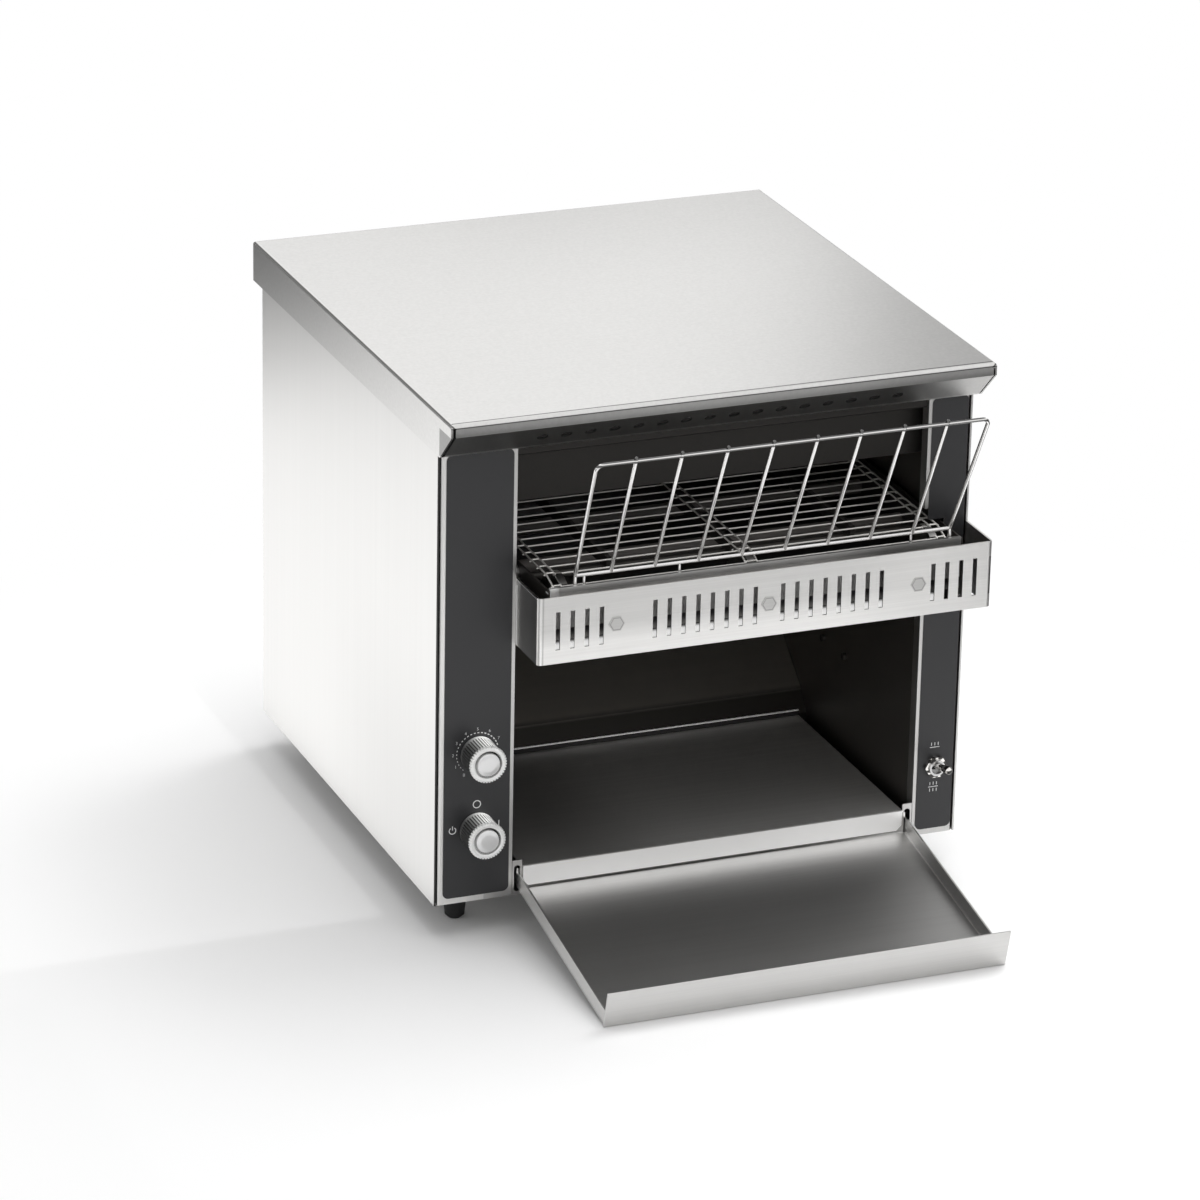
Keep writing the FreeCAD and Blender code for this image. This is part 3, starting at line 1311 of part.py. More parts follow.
def make_controls():
    """The speed knob, the power knob and the heat toggle, each with what it works."""
    make_knob("speed", d.speed_height)
    make_knob("power", d.power_height)
    bore_end = d.spindle_back + d.fit_gap
    bore = d.spindle_diameter + 2 * d.running_gap
    for label, height, case in (("speed_potentiometer", d.speed_height, "round"),
                                ("power_switch", d.power_height, "square")):
        half = d.switch_size / 2
        if case == "round":
            body = rod(label, "Y", sheet, sheet + d.pot_length, knob_x, height, d.pot_diameter)
        else:
            body = block(label, (knob_x - half, knob_x + half), (sheet, sheet + d.switch_length),
                         (height - half, height + half))
        neck = rod(label + "Neck", "Y", 0, sheet + d.overrun, knob_x, height, d.control_bush)
        hole = rod(label + "Hole", "Y", -d.overrun, bore_end, knob_x, height, bore)
        node(cut(label, fuse(label + "Blank", [body, neck]), [hole]), label)

    x = toggle_x
    z = d.toggle_height
    half_width_of_body = d.toggle_body_width / 2
    half_height = d.toggle_body_height / 2
    case = block("ToggleCase", (x - half_width_of_body, x + half_width_of_body),
                 (sheet, sheet + d.toggle_body_depth), (z - half_height, z + half_height))
    bush = rod("ToggleBush", "Y", -d.toggle_bush_out, sheet + d.overrun, x, z, d.toggle_bush)
    wide_bore = rod("ToggleMouth", "Y", -d.toggle_bush_out - d.overrun, 0, x, z, d.toggle_bore)
    ball_seat = rod("ToggleSeat", "Y", -d.overrun, d.toggle_pivot_back + d.toggle_tip_diameter, x, z,
                    d.toggle_tip_diameter + 2 * d.running_gap)
    node(cut("ToggleSwitch", fuse("ToggleBlank", [case, bush]), [wide_bore, ball_seat]), "toggle_switch")
    washer_back = -d.face_sheet
    washer_front = washer_back - d.toggle_washer
    nut_front = washer_front - d.toggle_nut_width
    nut = hexagon("ToggleHex", "Y", nut_front, washer_front, x, z, d.toggle_nut_flats)
    washer = rod("ToggleWasher", "Y", washer_front, washer_back, x, z, d.toggle_nut_flats)
    thread = rod("ToggleThread", "Y", nut_front - d.overrun, washer_back + d.overrun, x, z,
                 d.toggle_bush + 2 * d.running_gap)
    node(cut("ToggleNut", fuse("ToggleNutBlank", [nut, washer]), [thread]), "toggle_nut")

    pivot_ball = ball("ToggleBall", 0, d.toggle_tip_diameter)
    tip_ball = ball("ToggleTip", d.toggle_length, d.toggle_tip_diameter)
    stem = doc.addObject("Part::Cone", "ToggleStem")
    link(stem, "Radius1", d.toggle_root_diameter / 2)
    link(stem, "Radius2", d.toggle_tip_diameter / 2)
    link(stem, "Height", d.toggle_length)
    lever = fuse("ToggleLever", [pivot_ball, stem, tip_ball])
    node(lever, "heat_toggle_lever", x, d.toggle_pivot_back, z, X_AXIS, 90 - TOGGLE_TILT)


def make_rear_pieces():
    """The fan with its guard, the cord gland, the control board and the fixing screws."""
    x = -d.fan_left
    z = d.fan_height
    half = d.fan_size / 2
    back = rear_inside
    front = back - d.fan_depth
    frame = plate("FanFrame", "XZ", front, d.fan_depth, rectangle(x - half, z - half, x + half, z + half))
    corners = [edge_near("y", x=x + sx * half, z=z + sz * half) for sx in (-1, 1) for sz in (-1, 1)]
    round_edges(frame, d.fan_corner, any_of(*corners))
    cut_circle(frame, "XZ", front - d.overrun, d.fan_depth + 2 * d.overrun, x, z, d.fan_bore)
    arm = d.fan_arm / 2
    reach = d.fan_bore / 2 + d.fit_gap
    cross = rectangle(x - reach, z - arm, x + reach, z + arm)
    upright = rectangle(x - arm, z - reach, x + arm, z + reach)
    for outline in (cross, upright):
        add_plate(frame, "XZ", front, d.fan_arm_depth, outline)
    sketch = new_sketch(frame, "XZ", front)
    draw_circle(sketch, x, z, d.fan_hub)
    boss = frame.newObject("PartDesign::Pad", "Boss")
    boss.Profile = sketch
    boss.Reversed = True
    link(boss, "Length", d.fan_arm_depth)
    cut_circle(frame, "XZ", front - d.overrun, d.fan_arm_depth + 2 * d.overrun, x, z,
               d.fan_axle + 2 * d.running_gap)
    node(frame, "fan_frame")

    rotor_front = front + d.fan_arm_depth + d.fit_gap
    rotor_depth = d.fan_depth - d.fan_arm_depth - 3 * d.fit_gap
    hub = rod("FanHub", "Y", rotor_front, rotor_front + rotor_depth, x, z, d.fan_hub)
    axle = rod("FanAxle", "Y", front + d.fit_gap, rotor_front, x, z, d.fan_axle)
    pieces = [hub, axle]
    radial = (d.fan_tip - d.fan_hub) / 2 + d.fan_axle / 2
    blade_y = rotor_front + rotor_depth / 2
    for i in range(FAN_BLADES):
        blade = doc.addObject("Part::Box", "Blade")
        link(blade, "Length", radial)
        link(blade, "Width", d.fan_blade_width)
        link(blade, "Height", d.fan_blade_sheet)
        angle = 360 * i / FAN_BLADES
        spin = FreeCAD.Rotation(Y_AXIS, angle)
        pitch = spin.multiply(FreeCAD.Rotation(X_AXIS, FAN_BLADE_TWIST))
        corner = FreeCAD.Vector(float(d.fan_hub - d.fan_axle) / 2, -float(d.fan_blade_width) / 2,
                                -float(d.fan_blade_sheet) / 2)
        centre = FreeCAD.Vector(float(x), float(blade_y), float(z))
        blade.Placement = FreeCAD.Placement(centre + pitch.multVec(corner), pitch)
        pieces.append(blade)
    node(fuse("FanRotor", pieces), "fan_rotor")

    guard_start = d.body_depth
    guard_end = guard_start + d.inner_sheet
    rings = []
    for i in range(GUARD_RINGS):
        across = d.ring_outer - 2 * i * d.ring_pitch
        disc = rod("Ring", "Y", guard_start, guard_end, x, z, across + d.ring_width)
        hole = rod("RingHole", "Y", guard_start - d.overrun, guard_end + d.overrun, x, z,
                   across - d.ring_width)
        rings.append(cut("GuardRing", disc, [hole]))
    spoke = d.ring_width / 2
    reach = d.ring_outer / 2
    rings.append(block("Spoke", (x - reach, x + reach), (guard_start, guard_end), (z - spoke, z + spoke)))
    rings.append(block("Spoke", (x - spoke, x + spoke), (guard_start, guard_end), (z - reach, z + reach)))
    node(fuse("FanGuard", rings), "fan_guard")

    gx = d.gland_side - half_width
    gz = d.gland_height
    outer_end = d.body_depth + d.gland_out
    inner_end = outer_end - d.gland_length
    flange = rod("GlandFlange", "Y", d.body_depth, outer_end, gx, gz, d.gland_flange)
    barrel = rod("GlandBarrel", "Y", inner_end, outer_end, gx, gz, d.gland_hole - 2 * d.running_gap)
    bore = rod("GlandBore", "Y", inner_end - d.overrun, outer_end + d.overrun, gx, gz, d.gland_bore)
    node(cut("Gland", fuse("GlandBlank", [flange, barrel]), [bore]), "cord_gland")

    board_right = left_wall_outer - d.board_standoff
    board = (board_right - d.board_sheet, board_right)
    y_span = (d.board_back, d.board_back + d.board_length)
    z_span = (d.board_height, d.board_height + d.board_width)
    pieces = [block("Board", board, y_span, z_span)]
    sink = (board[0] - d.sink_depth, board[0])
    pieces.append(block("Sink", sink, (y_span[0] + d.screw_edge, y_span[0] + d.sink_reach),
                        (z_span[0] + d.screw_edge, z_span[1] - d.screw_edge)))
    pieces.append(block("Relay", sink, (y_span[1] - d.sink_reach, y_span[1] - d.screw_edge),
                        (z_span[0] + d.screw_edge, z_span[0] + d.board_width / 2)))
    for y in (y_span[0] + d.screw_edge / 2, y_span[1] - d.screw_edge / 2):
        for height in (z_span[0] + d.screw_edge / 2, z_span[1] - d.screw_edge / 2):
            pieces.append(rod("BoardPost", "X", board_right, left_wall_outer, y, height, d.board_post))
    node(fuse("ControlBoard", pieces), "control_board")

    screws = []
    side = inside_width - d.screw_edge
    low = d.foot_height + 2 * d.screw_edge
    high = skirt_low - 2 * d.screw_edge
    head_end = d.body_depth + d.screw_head_height
    for x in (-side, side):
        for height in (low, (low + high) / 2, high):
            screws.append(rod("ScrewHead", "Y", d.body_depth, head_end, x, height, d.screw_head))
    node(group("RearScrews", screws), "rear_panel_screws")


def check_document():
    """Stop when any object failed or a cut removed nothing."""
    doc.recompute()
    faults = []
    for thing in doc.Objects:
        if "Invalid" in thing.State or "Error" in thing.State:
            faults.append("%s (%s): %s" % (thing.Name, thing.Label, thing.State))
    for thing in doc.Objects:
        if thing.TypeId in ("PartDesign::Pocket", "PartDesign::LinearPattern", "PartDesign::PolarPattern"):
            if thing.BaseFeature and thing.Shape.Volume > thing.BaseFeature.Shape.Volume - 1e-6:
                faults.append("%s cut nothing" % thing.Name)
    for label, thing in NODES.items():
        if thing.Shape.isNull() or not thing.Shape.isValid() or not thing.Shape.Solids:
            faults.append("%s has no valid solid" % label)
    if faults:
        raise RuntimeError("; ".join(faults))


def main():
    make_case()
    make_columns()
    make_landing()
    make_guard()
    make_conveyor_frame()
    make_shafts()
    make_belt()
    make_heating()
    make_rack()
    make_controls()
    make_rear_pieces()
    check_document()
    os.makedirs("parts", exist_ok=True)
    for label, thing in NODES.items():
        thing.Shape.exportStep("parts/%s.step" % label)
        print("%-24s solids %3d volume %.0f" % (label, len(thing.Shape.Solids), thing.Shape.Volume))


main()
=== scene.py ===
import json
import math
import bpy
import bmesh
from bpy.props import FloatProperty, FloatVectorProperty, PointerProperty
from mathutils import Matrix, Vector


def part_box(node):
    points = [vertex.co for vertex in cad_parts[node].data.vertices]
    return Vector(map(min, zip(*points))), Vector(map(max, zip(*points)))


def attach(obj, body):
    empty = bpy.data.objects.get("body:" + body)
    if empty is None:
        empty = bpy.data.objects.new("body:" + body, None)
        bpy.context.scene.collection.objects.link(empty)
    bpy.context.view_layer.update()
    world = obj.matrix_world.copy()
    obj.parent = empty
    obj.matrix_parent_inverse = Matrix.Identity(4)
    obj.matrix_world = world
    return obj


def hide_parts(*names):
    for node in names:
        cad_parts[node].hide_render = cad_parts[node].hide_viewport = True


bl_info = {
    "name": "Conveyor Toaster",
    "version": (1, 0, 0),
    "blender": (4, 5, 0),
    "location": "View3D > Sidebar > Toaster",
    "description": "Finishes, wire belt, rack, dials and stage for a counter-top conveyor toaster",
    "category": "Object",
}

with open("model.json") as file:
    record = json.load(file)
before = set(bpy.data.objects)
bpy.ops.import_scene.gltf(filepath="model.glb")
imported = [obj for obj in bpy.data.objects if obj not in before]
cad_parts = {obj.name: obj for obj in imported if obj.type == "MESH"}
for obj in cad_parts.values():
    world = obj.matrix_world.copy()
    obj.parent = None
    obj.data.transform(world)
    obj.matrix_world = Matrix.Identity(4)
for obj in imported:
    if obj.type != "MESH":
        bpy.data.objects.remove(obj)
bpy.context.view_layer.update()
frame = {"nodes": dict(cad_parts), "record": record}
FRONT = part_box("left_front_column")[0].y
MM = 0.001

# Places in millimetres: x from the middle, y from the face of the columns, z from the table.
KNOB_X = -155.5
KNOB_HEIGHTS = {"speed": 128.3, "power": 75.2}
KNOB_FOOT = -0.9
KNOB_FLUTES = 40
BELT_MIDDLE, BELT_HALF = 22.4, 136.8
BELT_FRONT, BELT_TOP = -7.5, 247.6
BELT_TEETH, BELT_RUN = 10, 22
RACK_FOOT, RACK_HEAD = (-28.5, 253.8), (-73.5, 343.8)
RACK_LEFT, RACK_RIGHT = -102, 157.6
PRINT_BACK, PRINT_FRONT = -0.51, -0.55
STUD_HEIGHT, STUD_PITCH, STUD_HALF = 222, 104.6, 3.95
TRAY_SLOPE = 0.1836


def at(x, y, z):
    """A place in millimetres, from the face of the columns, in the row's frame."""
    return Vector((x * MM, y * MM + FRONT, z * MM))


def settings():
    return bpy.context.scene.toaster


# Shader maths


class Value:
    """A number that varies over a surface. Python's operators add its Math nodes."""

    def __init__(self, paint, socket):
        self.paint = paint
        self.socket = socket

    def maths(self, operation, *others):
        inputs = {0: self}
        for index, other in enumerate(others, start=1):
            inputs[index] = other
        return self.paint.node("ShaderNodeMath", {"operation": operation}, inputs)

    def __add__(self, other):
        return self.maths("ADD", other)

    __radd__ = __add__

    def __mul__(self, other):
        return self.maths("MULTIPLY", other)

    __rmul__ = __mul__

    def __sub__(self, other):
        return self.maths("SUBTRACT", other)

    def __rsub__(self, other):
        return (self * -1) + other

    def __truediv__(self, other):
        return self.maths("DIVIDE", other)

    def __neg__(self):
        return self * -1

    def __abs__(self):
        return self.maths("ABSOLUTE")

    def __pow__(self, other):
        return self.maths("POWER", other)

    def above(self, other):
        return self.maths("GREATER_THAN", other)

    def below(self, other):
        return self.maths("LESS_THAN", other)

    def least(self, other):
        return self.maths("MINIMUM", other)

    def most(self, other):
        return self.maths("MAXIMUM", other)

    def smooth(self, low, high):
        """0 below low, 1 above high and a soft step between."""
        return self.paint.node("ShaderNodeMapRange", {"interpolation_type": "SMOOTHSTEP"},
                               {"Value": self, "From Min": low, "From Max": high})

    def line(self, centre, half, soft):
        """A soft band round one value."""
        return 1 - abs(self - centre).smooth(half, half + soft)


class Paint:
    """One material: its shader, and a method that adds any other node."""

    def __init__(self, name, colour, roughness=0.4, metallic=0.0, **constants):
        self.material = bpy.data.materials.new(name + "_finish")
        self.material.use_nodes = True
        self.tree = self.material.node_tree
        self.tree.nodes.clear()
        output = self.tree.nodes.new("ShaderNodeOutputMaterial")
        self.shader = self.tree.nodes.new("ShaderNodeBsdfPrincipled")
        self.tree.links.new(self.shader.outputs[0], output.inputs[0])
        self.set("Base Color", colour)
        self.set("Roughness", roughness)
        self.set("Metallic", metallic)
        for socket, value in constants.items():
            self.set(socket.replace("_", " "), value)

    def feed(self, socket, value):
        if isinstance(value, Value):
            self.tree.links.new(value.socket, socket)
        elif hasattr(socket.default_value, "__len__") and hasattr(value, "__len__"):
            wanted = len(socket.default_value)
            socket.default_value = tuple(value)[:wanted] + (1.0,) * (wanted - len(value))
        else:
            socket.default_value = value

    def set(self, socket, value):
        self.feed(self.shader.inputs[socket], value)
        return self

    def node(self, kind, setup=None, inputs=None, output=0):
        made = self.tree.nodes.new(kind)
        for name, value in (setup or {}).items():
            setattr(made, name, value)
        for name, value in (inputs or {}).items():
            self.feed(made.inputs[name], value)
        return Value(self, made.outputs[output])

    def place(self):
        """Object coordinates, in metres."""
        return self.node("ShaderNodeTexCoord", output="Object")

    def axes(self):
        """The three object coordinates, as values in millimetres from the face of the columns."""
        split = self.node("ShaderNodeSeparateXYZ", inputs={0: self.place()}).socket.node
        x, y, z = (Value(self, out) for out in split.outputs)
        return x / MM, (y - FRONT) / MM, z / MM

    def stretched(self, scale, move=(0, 0, 0)):
        return self.node("ShaderNodeMapping",
                         inputs={"Vector": self.place(), "Scale": scale, "Location": move})

    def noise(self, scale, detail=2.0, roughness=0.5, move=(0, 0, 0)):
        """Noise with its own density along each axis, per metre."""
        return self.node("ShaderNodeTexNoise", {"noise_dimensions": "3D"},
                         {"Vector": self.stretched(scale, move), "Scale": 1.0, "Detail": detail,
                          "Roughness": roughness})

    def shade(self, colour, amount):
        """A colour made lighter or darker by a value about 1."""
        grey = self.node("ShaderNodeCombineColor", inputs={0: amount, 1: amount, 2: amount})
        return self.node("ShaderNodeMix", {"data_type": "RGBA", "blend_type": "MULTIPLY"},
                         {0: 1.0, 6: colour, 7: grey}, 2)

    def bump(self, height, strength, distance):
        normal = self.node("ShaderNodeBump",
                           inputs={"Height": height, "Strength": strength, "Distance": distance})
        return self.set("Normal", normal)


# Finishes


GRAIN = {"x": (9, 1500, 1500), "y": (1500, 9, 1500), "z": (1500, 1500, 9)}


def brushed(name, colour, grain, roughness=0.34, streak=0.10, cloud=0.06, local=None, metallic=1.0):
    """Brushed stainless sheet with its grain along one axis; local gives the tone of single places, mostly
    painted light and shade.
    """
    paint = Paint(name, colour, roughness, metallic)
    fine = paint.noise(GRAIN[grain], 3.0, 0.65)
    coarse = paint.noise(tuple(s * 0.22 for s in GRAIN[grain]), 2.0, 0.5, (3, 5, 7))
    patch = paint.noise((7, 7, 7), 2.0, 0.5, (11, 2, 4))
    tone = 1 + (fine - 0.5) * streak + (coarse - 0.5) * streak * 0.6 + (patch - 0.5) * cloud
    if local:
        tone = tone * local(paint, *paint.axes())
    paint.set("Base Color", paint.shade(colour, tone))
    paint.set("Roughness", roughness + (fine - 0.5) * 0.10 + (patch - 0.5) * 0.05)
    paint.bump(fine, 0.10, 0.00005)
    return paint


def cover_tone(paint, x, y, z):
    """Mottled on top, with painted light and shade: the nose and slant darker, the top and side flange darker
    towards the back, a painted highlight on the front bend between painted dark reflection lines, a painted
    dark line on the side bend, painted shade under the top sheet, the hem a little darker, and the front-left
    mitre seam dark.
    """
    hem_top, slant_top, nose_top, skin = 336.9, 355, 361, 363.2
    nose_y, strip_y, slant_y = -27.5, -26, -7.4
    side, edge = 183, 185.4
    front = y.below(slant_y)
    nose = z.above(slant_top) * (1 - z.smooth(360.9, 361.3)) * y.below(nose_y)
    slant = z.below(slant_top) * z.above(hem_top) * front
    hem = (1 - z.above(hem_top)) * front
    flank_painted_shade = x.below(-edge) * z.below(nose_top)
    strip = z.above(361.4) * y.below(strip_y)
    inside = z.line(362.5, 0.3, 0.2) * y.above(-25) * abs(x).below(side)
    corner = abs(x + 183.9).below(0.9) * front * z.below(nose_top)
    fold = y.line(-25.6, 0.5, 0.5) * z.above(skin) + z.line(361.1, 0.2, 0.3) * y.below(nose_y)
    side_fold_painted_line = (abs(x) - z).line(-177.4, 0.55, 0.45) * z.above(360.5)
    nose_painted_shade = 0.60 + x.smooth(-186, -40) * 0.17 - x.smooth(40, 150) * 0.14
    nose_painted_shade = nose_painted_shade * (0.68 + z.smooth(slant_top, 360) * 0.36)
    slant_painted_shade = 0.40 + x.smooth(120, 182) * 0.34
    mottle = paint.noise((420, 420, 420), 3.0, 0.6, (5, 1, 2))
    tone = 1 + (mottle - 0.5) * 0.22
    # Painted shade on the nose and the slant; the hem a little darker.
    tone = tone * (1 - nose * (1 - nose_painted_shade)) * (1 - slant * (1 - slant_painted_shade)) * (1 - hem * 0.1)
    # Painted shade: the top darker towards the back on the right.
    tone = tone * (1 - z.above(nose_top) * y.smooth(150, 430) * x.smooth(-160, 60) * 0.13)
    # Painted shade on the side flange towards the back and under the top sheet, and a painted highlight on
    # the front bend.
    tone = tone * (1 - flank_painted_shade * y.smooth(-120, 480) * 0.38) * (1 + strip * 0.27) * (1 - inside * 0.95)
    # Painted dark reflection lines along the front and side folds, and the dark mitre seam at the front-left
    # corner.
    return tone * (1 - fold * 0.75) * (1 - side_fold_painted_line * 0.8) * (1 - corner * 0.95)


def guard_tone(paint, x, y, z):
    """Painted light and shade: the left end darker, with a painted highlight line inside its edges, a painted
    highlight and a painted dark line at the bend, the slots' walls dark, and the sheet brighter, more on the
    right and low down.
    """
    left, bend_y, face_y = -130.2, -36.6, -39.2
    right = x.smooth(60, 150)
    end = x.below(left) * y.above(bend_y) * y.below(-0.2)
    depth = -y
    shade = 0.42 + (1 - depth.smooth(16, 36)) * 0.3 + (1 - z.smooth(202, 232)) * 0.2
    slot_wall_painted_shade = y.above(face_y) * y.below(-37.9) * abs(z - STUD_HEIGHT).below(12.9) * x.above(-124)
    rim = (z.line(244.2, 0.25, 0.3) * y.below(-4)).most(y.line(-1.6, 0.4, 0.5) * z.below(241))
    bend = x.line(-129.2, 0.5, 0.8) * y.below(bend_y)
    bend_painted_dark_line = x.line(-127.2, 0.25, 0.4) * y.below(-38)
    low = (1 - z.smooth(206, 226)) * x.above(-129) * (1 - right)
    # Painted shade on the left end and the slots' walls, and a painted highlight line along the end's edges.
    tone = ((1 - end * (1 - shade)) + end * rim * 1.6) * (1 - slot_wall_painted_shade * 0.7)
    # A painted highlight and a painted dark line at the bend, and painted light on the right and low down.
    return tone * (1 + bend * 0.3) * (1 - bend_painted_dark_line * 0.3) * (1.12 + right * 0.2 + low * 0.35)


def stud_tone(paint, x, y, z):
    """Six-sided heads pressed into the sheet: a fine painted shade outline round each head and a slightly
    darker middle.
    """
    across = (x + 286.6).maths("MODULO", STUD_PITCH)
    across = across.least(STUD_PITCH - across)
    up = abs(z - STUD_HEIGHT)
    hexagon = up.most(up * 0.5 + across * 0.866)
    return (1 - hexagon.line(STUD_HALF, 0.15, 0.35) * 0.42) * (1 - (1 - hexagon.smooth(3.4, 3.9)) * 0.06)


def column_tone(paint, x, y, z):
    """The bend beside the left seam dark, painted light making the left bezel paler, and painted shade making
    the right column's outer bend greyer.
    """
    left_bend = x.below(-181.7)
    bezel = x.above(-181.7) * x.below(-150)
    return (1 - left_bend * 0.85) * (1 - x.above(181.4) * 0.3) * (1 + bezel * 0.35)


def side_tone(paint, x, y, z):
    """The side's cut front edge dark in its seam, and painted shade making the sheet greyer near the front
    foot.
    """
    low = (1 - z.smooth(60, 220)) * (1 - y.smooth(60, 240))
    return (1 - y.below(0.5) * 0.9) * (1 - low * 0.13)


def channel_tone(paint, x, y, z):
    """Painted light and shade behind the guard: paler at the top, a dark band lower down with grey below it,
    a painted highlight on the folded corner at its left end, and darker towards the right.
    """
    behind = z.below(244.5) * y.below(-31)
    middle = (1 - z.smooth(220.2, 221.2)) * (1 - (1 - z.smooth(213, 219)) * 0.5)
    corner = (1 - x.smooth(-117.5, -113.5)) * z.above(236)
    dim = 1 - x.smooth(60, 130) * 0.45
    return ((1 - behind * middle * 0.85) + behind * (1 - middle) * 0.4 + corner * 2.6) * dim


def tray_tone(paint, x, y, z):
    """Painted light and shade: the flanges a little dark inside, a painted highlight on the floor's fold
    along the right flange, the floor a little darker, and all brighter near the pan.
    """
    front, left, right = -153, -125, 147.8
    height = z - (y + 154) * TRAY_SLOPE - 1.5
    flange = abs(x - right).below(0.4) + abs(x - left).below(0.4)
    flange = flange * height.above(0.4) * y.above(front)
    fold = x.line(147.1, 0.35, 0.4) * y.above(front)
    floor = y.above(-150) * (1 - height.smooth(0.2, 0.6))
    return ((1 - flange * 0.3 - floor * 0.2) + fold * 0.5) * (1 + y.smooth(-55, -12) * 0.5)


def chute_tone(paint, x, y, z):
    """Painted shade on the steep part above the pan, and painted light making the slope behind it paler."""
    return 0.3 + z.smooth(57, 61) * 2.2


def pan_tone(paint, x, y, z):
    """Painted light and shade: the lip bright, the floor's left half darker, and the rear upstand dark below
    a painted highlight on its edge.
    """
    lip_y, rear_y, edge_z = 0.3, 171.2, 47.9
    rear = y.above(rear_y)
    edge = z.above(edge_z)
    lip = y.below(lip_y)
    left = (1 - x.smooth(-90, 0)) * y.above(lip_y) * 0.45
    tone = (1 - rear * (1 - edge) * 0.93) * (1 + rear * edge * 4)
    return tone * (1 + lip * 0.55 + lip * x.smooth(20, 120) * 0.6) * (1 - left)


def dark_sheet(name, colour, roughness=0.5, metallic=0.7):
    """Dark sheet with faint stains."""
    paint = Paint(name, colour, roughness, metallic)
    stain = paint.noise((28, 28, 28), 4.0, 0.6)
    fine = paint.noise((900, 900, 900), 2.0, 0.5, (2, 3, 5))
    paint.set("Base Color", paint.shade(colour, 0.75 + stain * 0.5 + (fine - 0.5) * 0.15))
    paint.set("Roughness", roughness - 0.12 + stain * 0.24)
    paint.bump(fine, 0.12, 0.00008)
    return paint


def smooth_metal(name, colour, roughness):
    """Plated or polished metal with faint handling marks."""
    paint = Paint(name, colour, roughness, 1.0)
    smear = paint.noise((60, 60, 60), 3.0, 0.6)
    paint.set("Base Color", paint.shade(colour, 0.95 + smear * 0.1))
    paint.set("Roughness", roughness + (smear - 0.5) * 0.08)
    return paint


def moulded(name, colour, roughness, grain=900.0, depth=0.00006):
    """Moulded plastic or rubber with a fine texture."""
    paint = Paint(name, colour, roughness)
    fine = paint.noise((grain, grain, grain), 2.0, 0.6)
    cloud = paint.noise((35, 35, 35), 2.0, 0.5, (1, 4, 9))
    paint.set("Base Color", paint.shade(colour, 0.85 + fine * 0.15 + cloud * 0.15))
    paint.set("Roughness", roughness + (cloud - 0.5) * 0.14)
    paint.bump(fine, 0.25, depth)
    return paint


def rack_plating():
    """The rack's bright plating, its upper bar with a painted dark reflection and a painted highlight line
    along it.
    """
    paint = Paint("rack_chrome", (0.8, 0.79, 0.78), 0.12, 1.0)
    x, y, z = paint.axes()
    bar = z.above(342.2) * y.below(-71.8)
    painted_highlight_line = (z - 344.2).line(0, 0.22, 0.3)
    smear = paint.noise((90, 90, 90), 2.0, 0.5)
    tone = (0.9 + smear * 0.2) * (1 - bar * (1 - painted_highlight_line) * 0.82)
    paint.set("Base Color", paint.shade((0.82, 0.81, 0.80), tone))
    return paint


def bright_chrome():
    """Polished plating on small turned parts, with painted dark and bright reflection patches in its colour.
    """
    paint = Paint("toggle_chrome", (0.82, 0.81, 0.80), 0.12, 1.0)
    patch = paint.noise((240, 240, 420), 1.0, 0.4, (3, 1, 8)).smooth(0.44, 0.53)
    paint.set("Base Color", paint.shade((0.9, 0.88, 0.85), 0.07 + patch * 0.93))
    return paint


def from_knob(x, z):
    """How far a point lies to the right of the nearer knob's middle, and above it."""
    low, high = KNOB_HEIGHTS["power"], KNOB_HEIGHTS["speed"]
    middle = z.above((low + high) / 2) * (high - low) + low
    return x - KNOB_X, z - middle


def knob_metal():
    """The knobs' plated skirt, with painted light from the upper right in its colour and a painted glow, and
    a painted dark line of shade in each flute.
    """
    paint = Paint("knob_silver", (0.9, 0.9, 0.89), 0.3, 0.3)
    x, y, z = paint.axes()
    across, up = from_knob(x, z)
    radius = (across * across + up * up) ** 0.5
    skirt = y.above(-18.6) * radius.above(10.4)
    turn = across.maths("ARCTAN2", up)
    flute = (turn * (KNOB_FLUTES / (2 * math.pi)) + KNOB_FLUTES).maths("FRACT")
    groove = abs(flute - 0.5).below(0.24) * y.below(-4.2) * y.above(-18.2)
    painted_lit_side = (1 - abs(turn - 0.5).smooth(0.1, 1.6)) * 0.88 + 0.14
    tone = painted_lit_side * (1 - groove * 0.85)
    paint.set("Base Color", paint.shade((0.92, 0.92, 0.91), (1 - skirt) + skirt * tone))
    # A painted glow on the side of the skirt that faces the upper right.
    paint.set("Emission Color", paint.shade((1, 1, 0.98), skirt * tone * painted_lit_side * painted_lit_side))
    paint.set("Emission Strength", 0.75)
    return paint


def groove_shadow():
    """The groove round a knob's cap: dark on its upper right, pale on its lower left."""
    paint = Paint("knob_groove", (0.1, 0.1, 0.1), 0.4, 0.6)
    x, y, z = paint.axes()
    across, up = from_knob(x, z)
    toward = across * 0.8 + up * 0.6
    paint.set("Base Color", paint.shade((1, 1, 1), 0.5 - toward.smooth(-8, 0) * 0.49))
    return paint


def flange_light():
    """The channel's lower flange, with painted light and a painted glow on its lower part, where light from
    below would reach it.
    """
    paint = Paint("flange_white", (0.9, 0.9, 0.89), 0.4, Emission_Strength=0.55)
    x, y, z = paint.axes()
    lit = 1 - z.smooth(209.5, 212.6)
    paint.set("Base Color", paint.shade((0.9, 0.9, 0.89), 0.1 + lit * 0.9))
    # A painted glow on the lower part.
    paint.set("Emission Color", paint.shade((1, 1, 1), lit))
    return paint


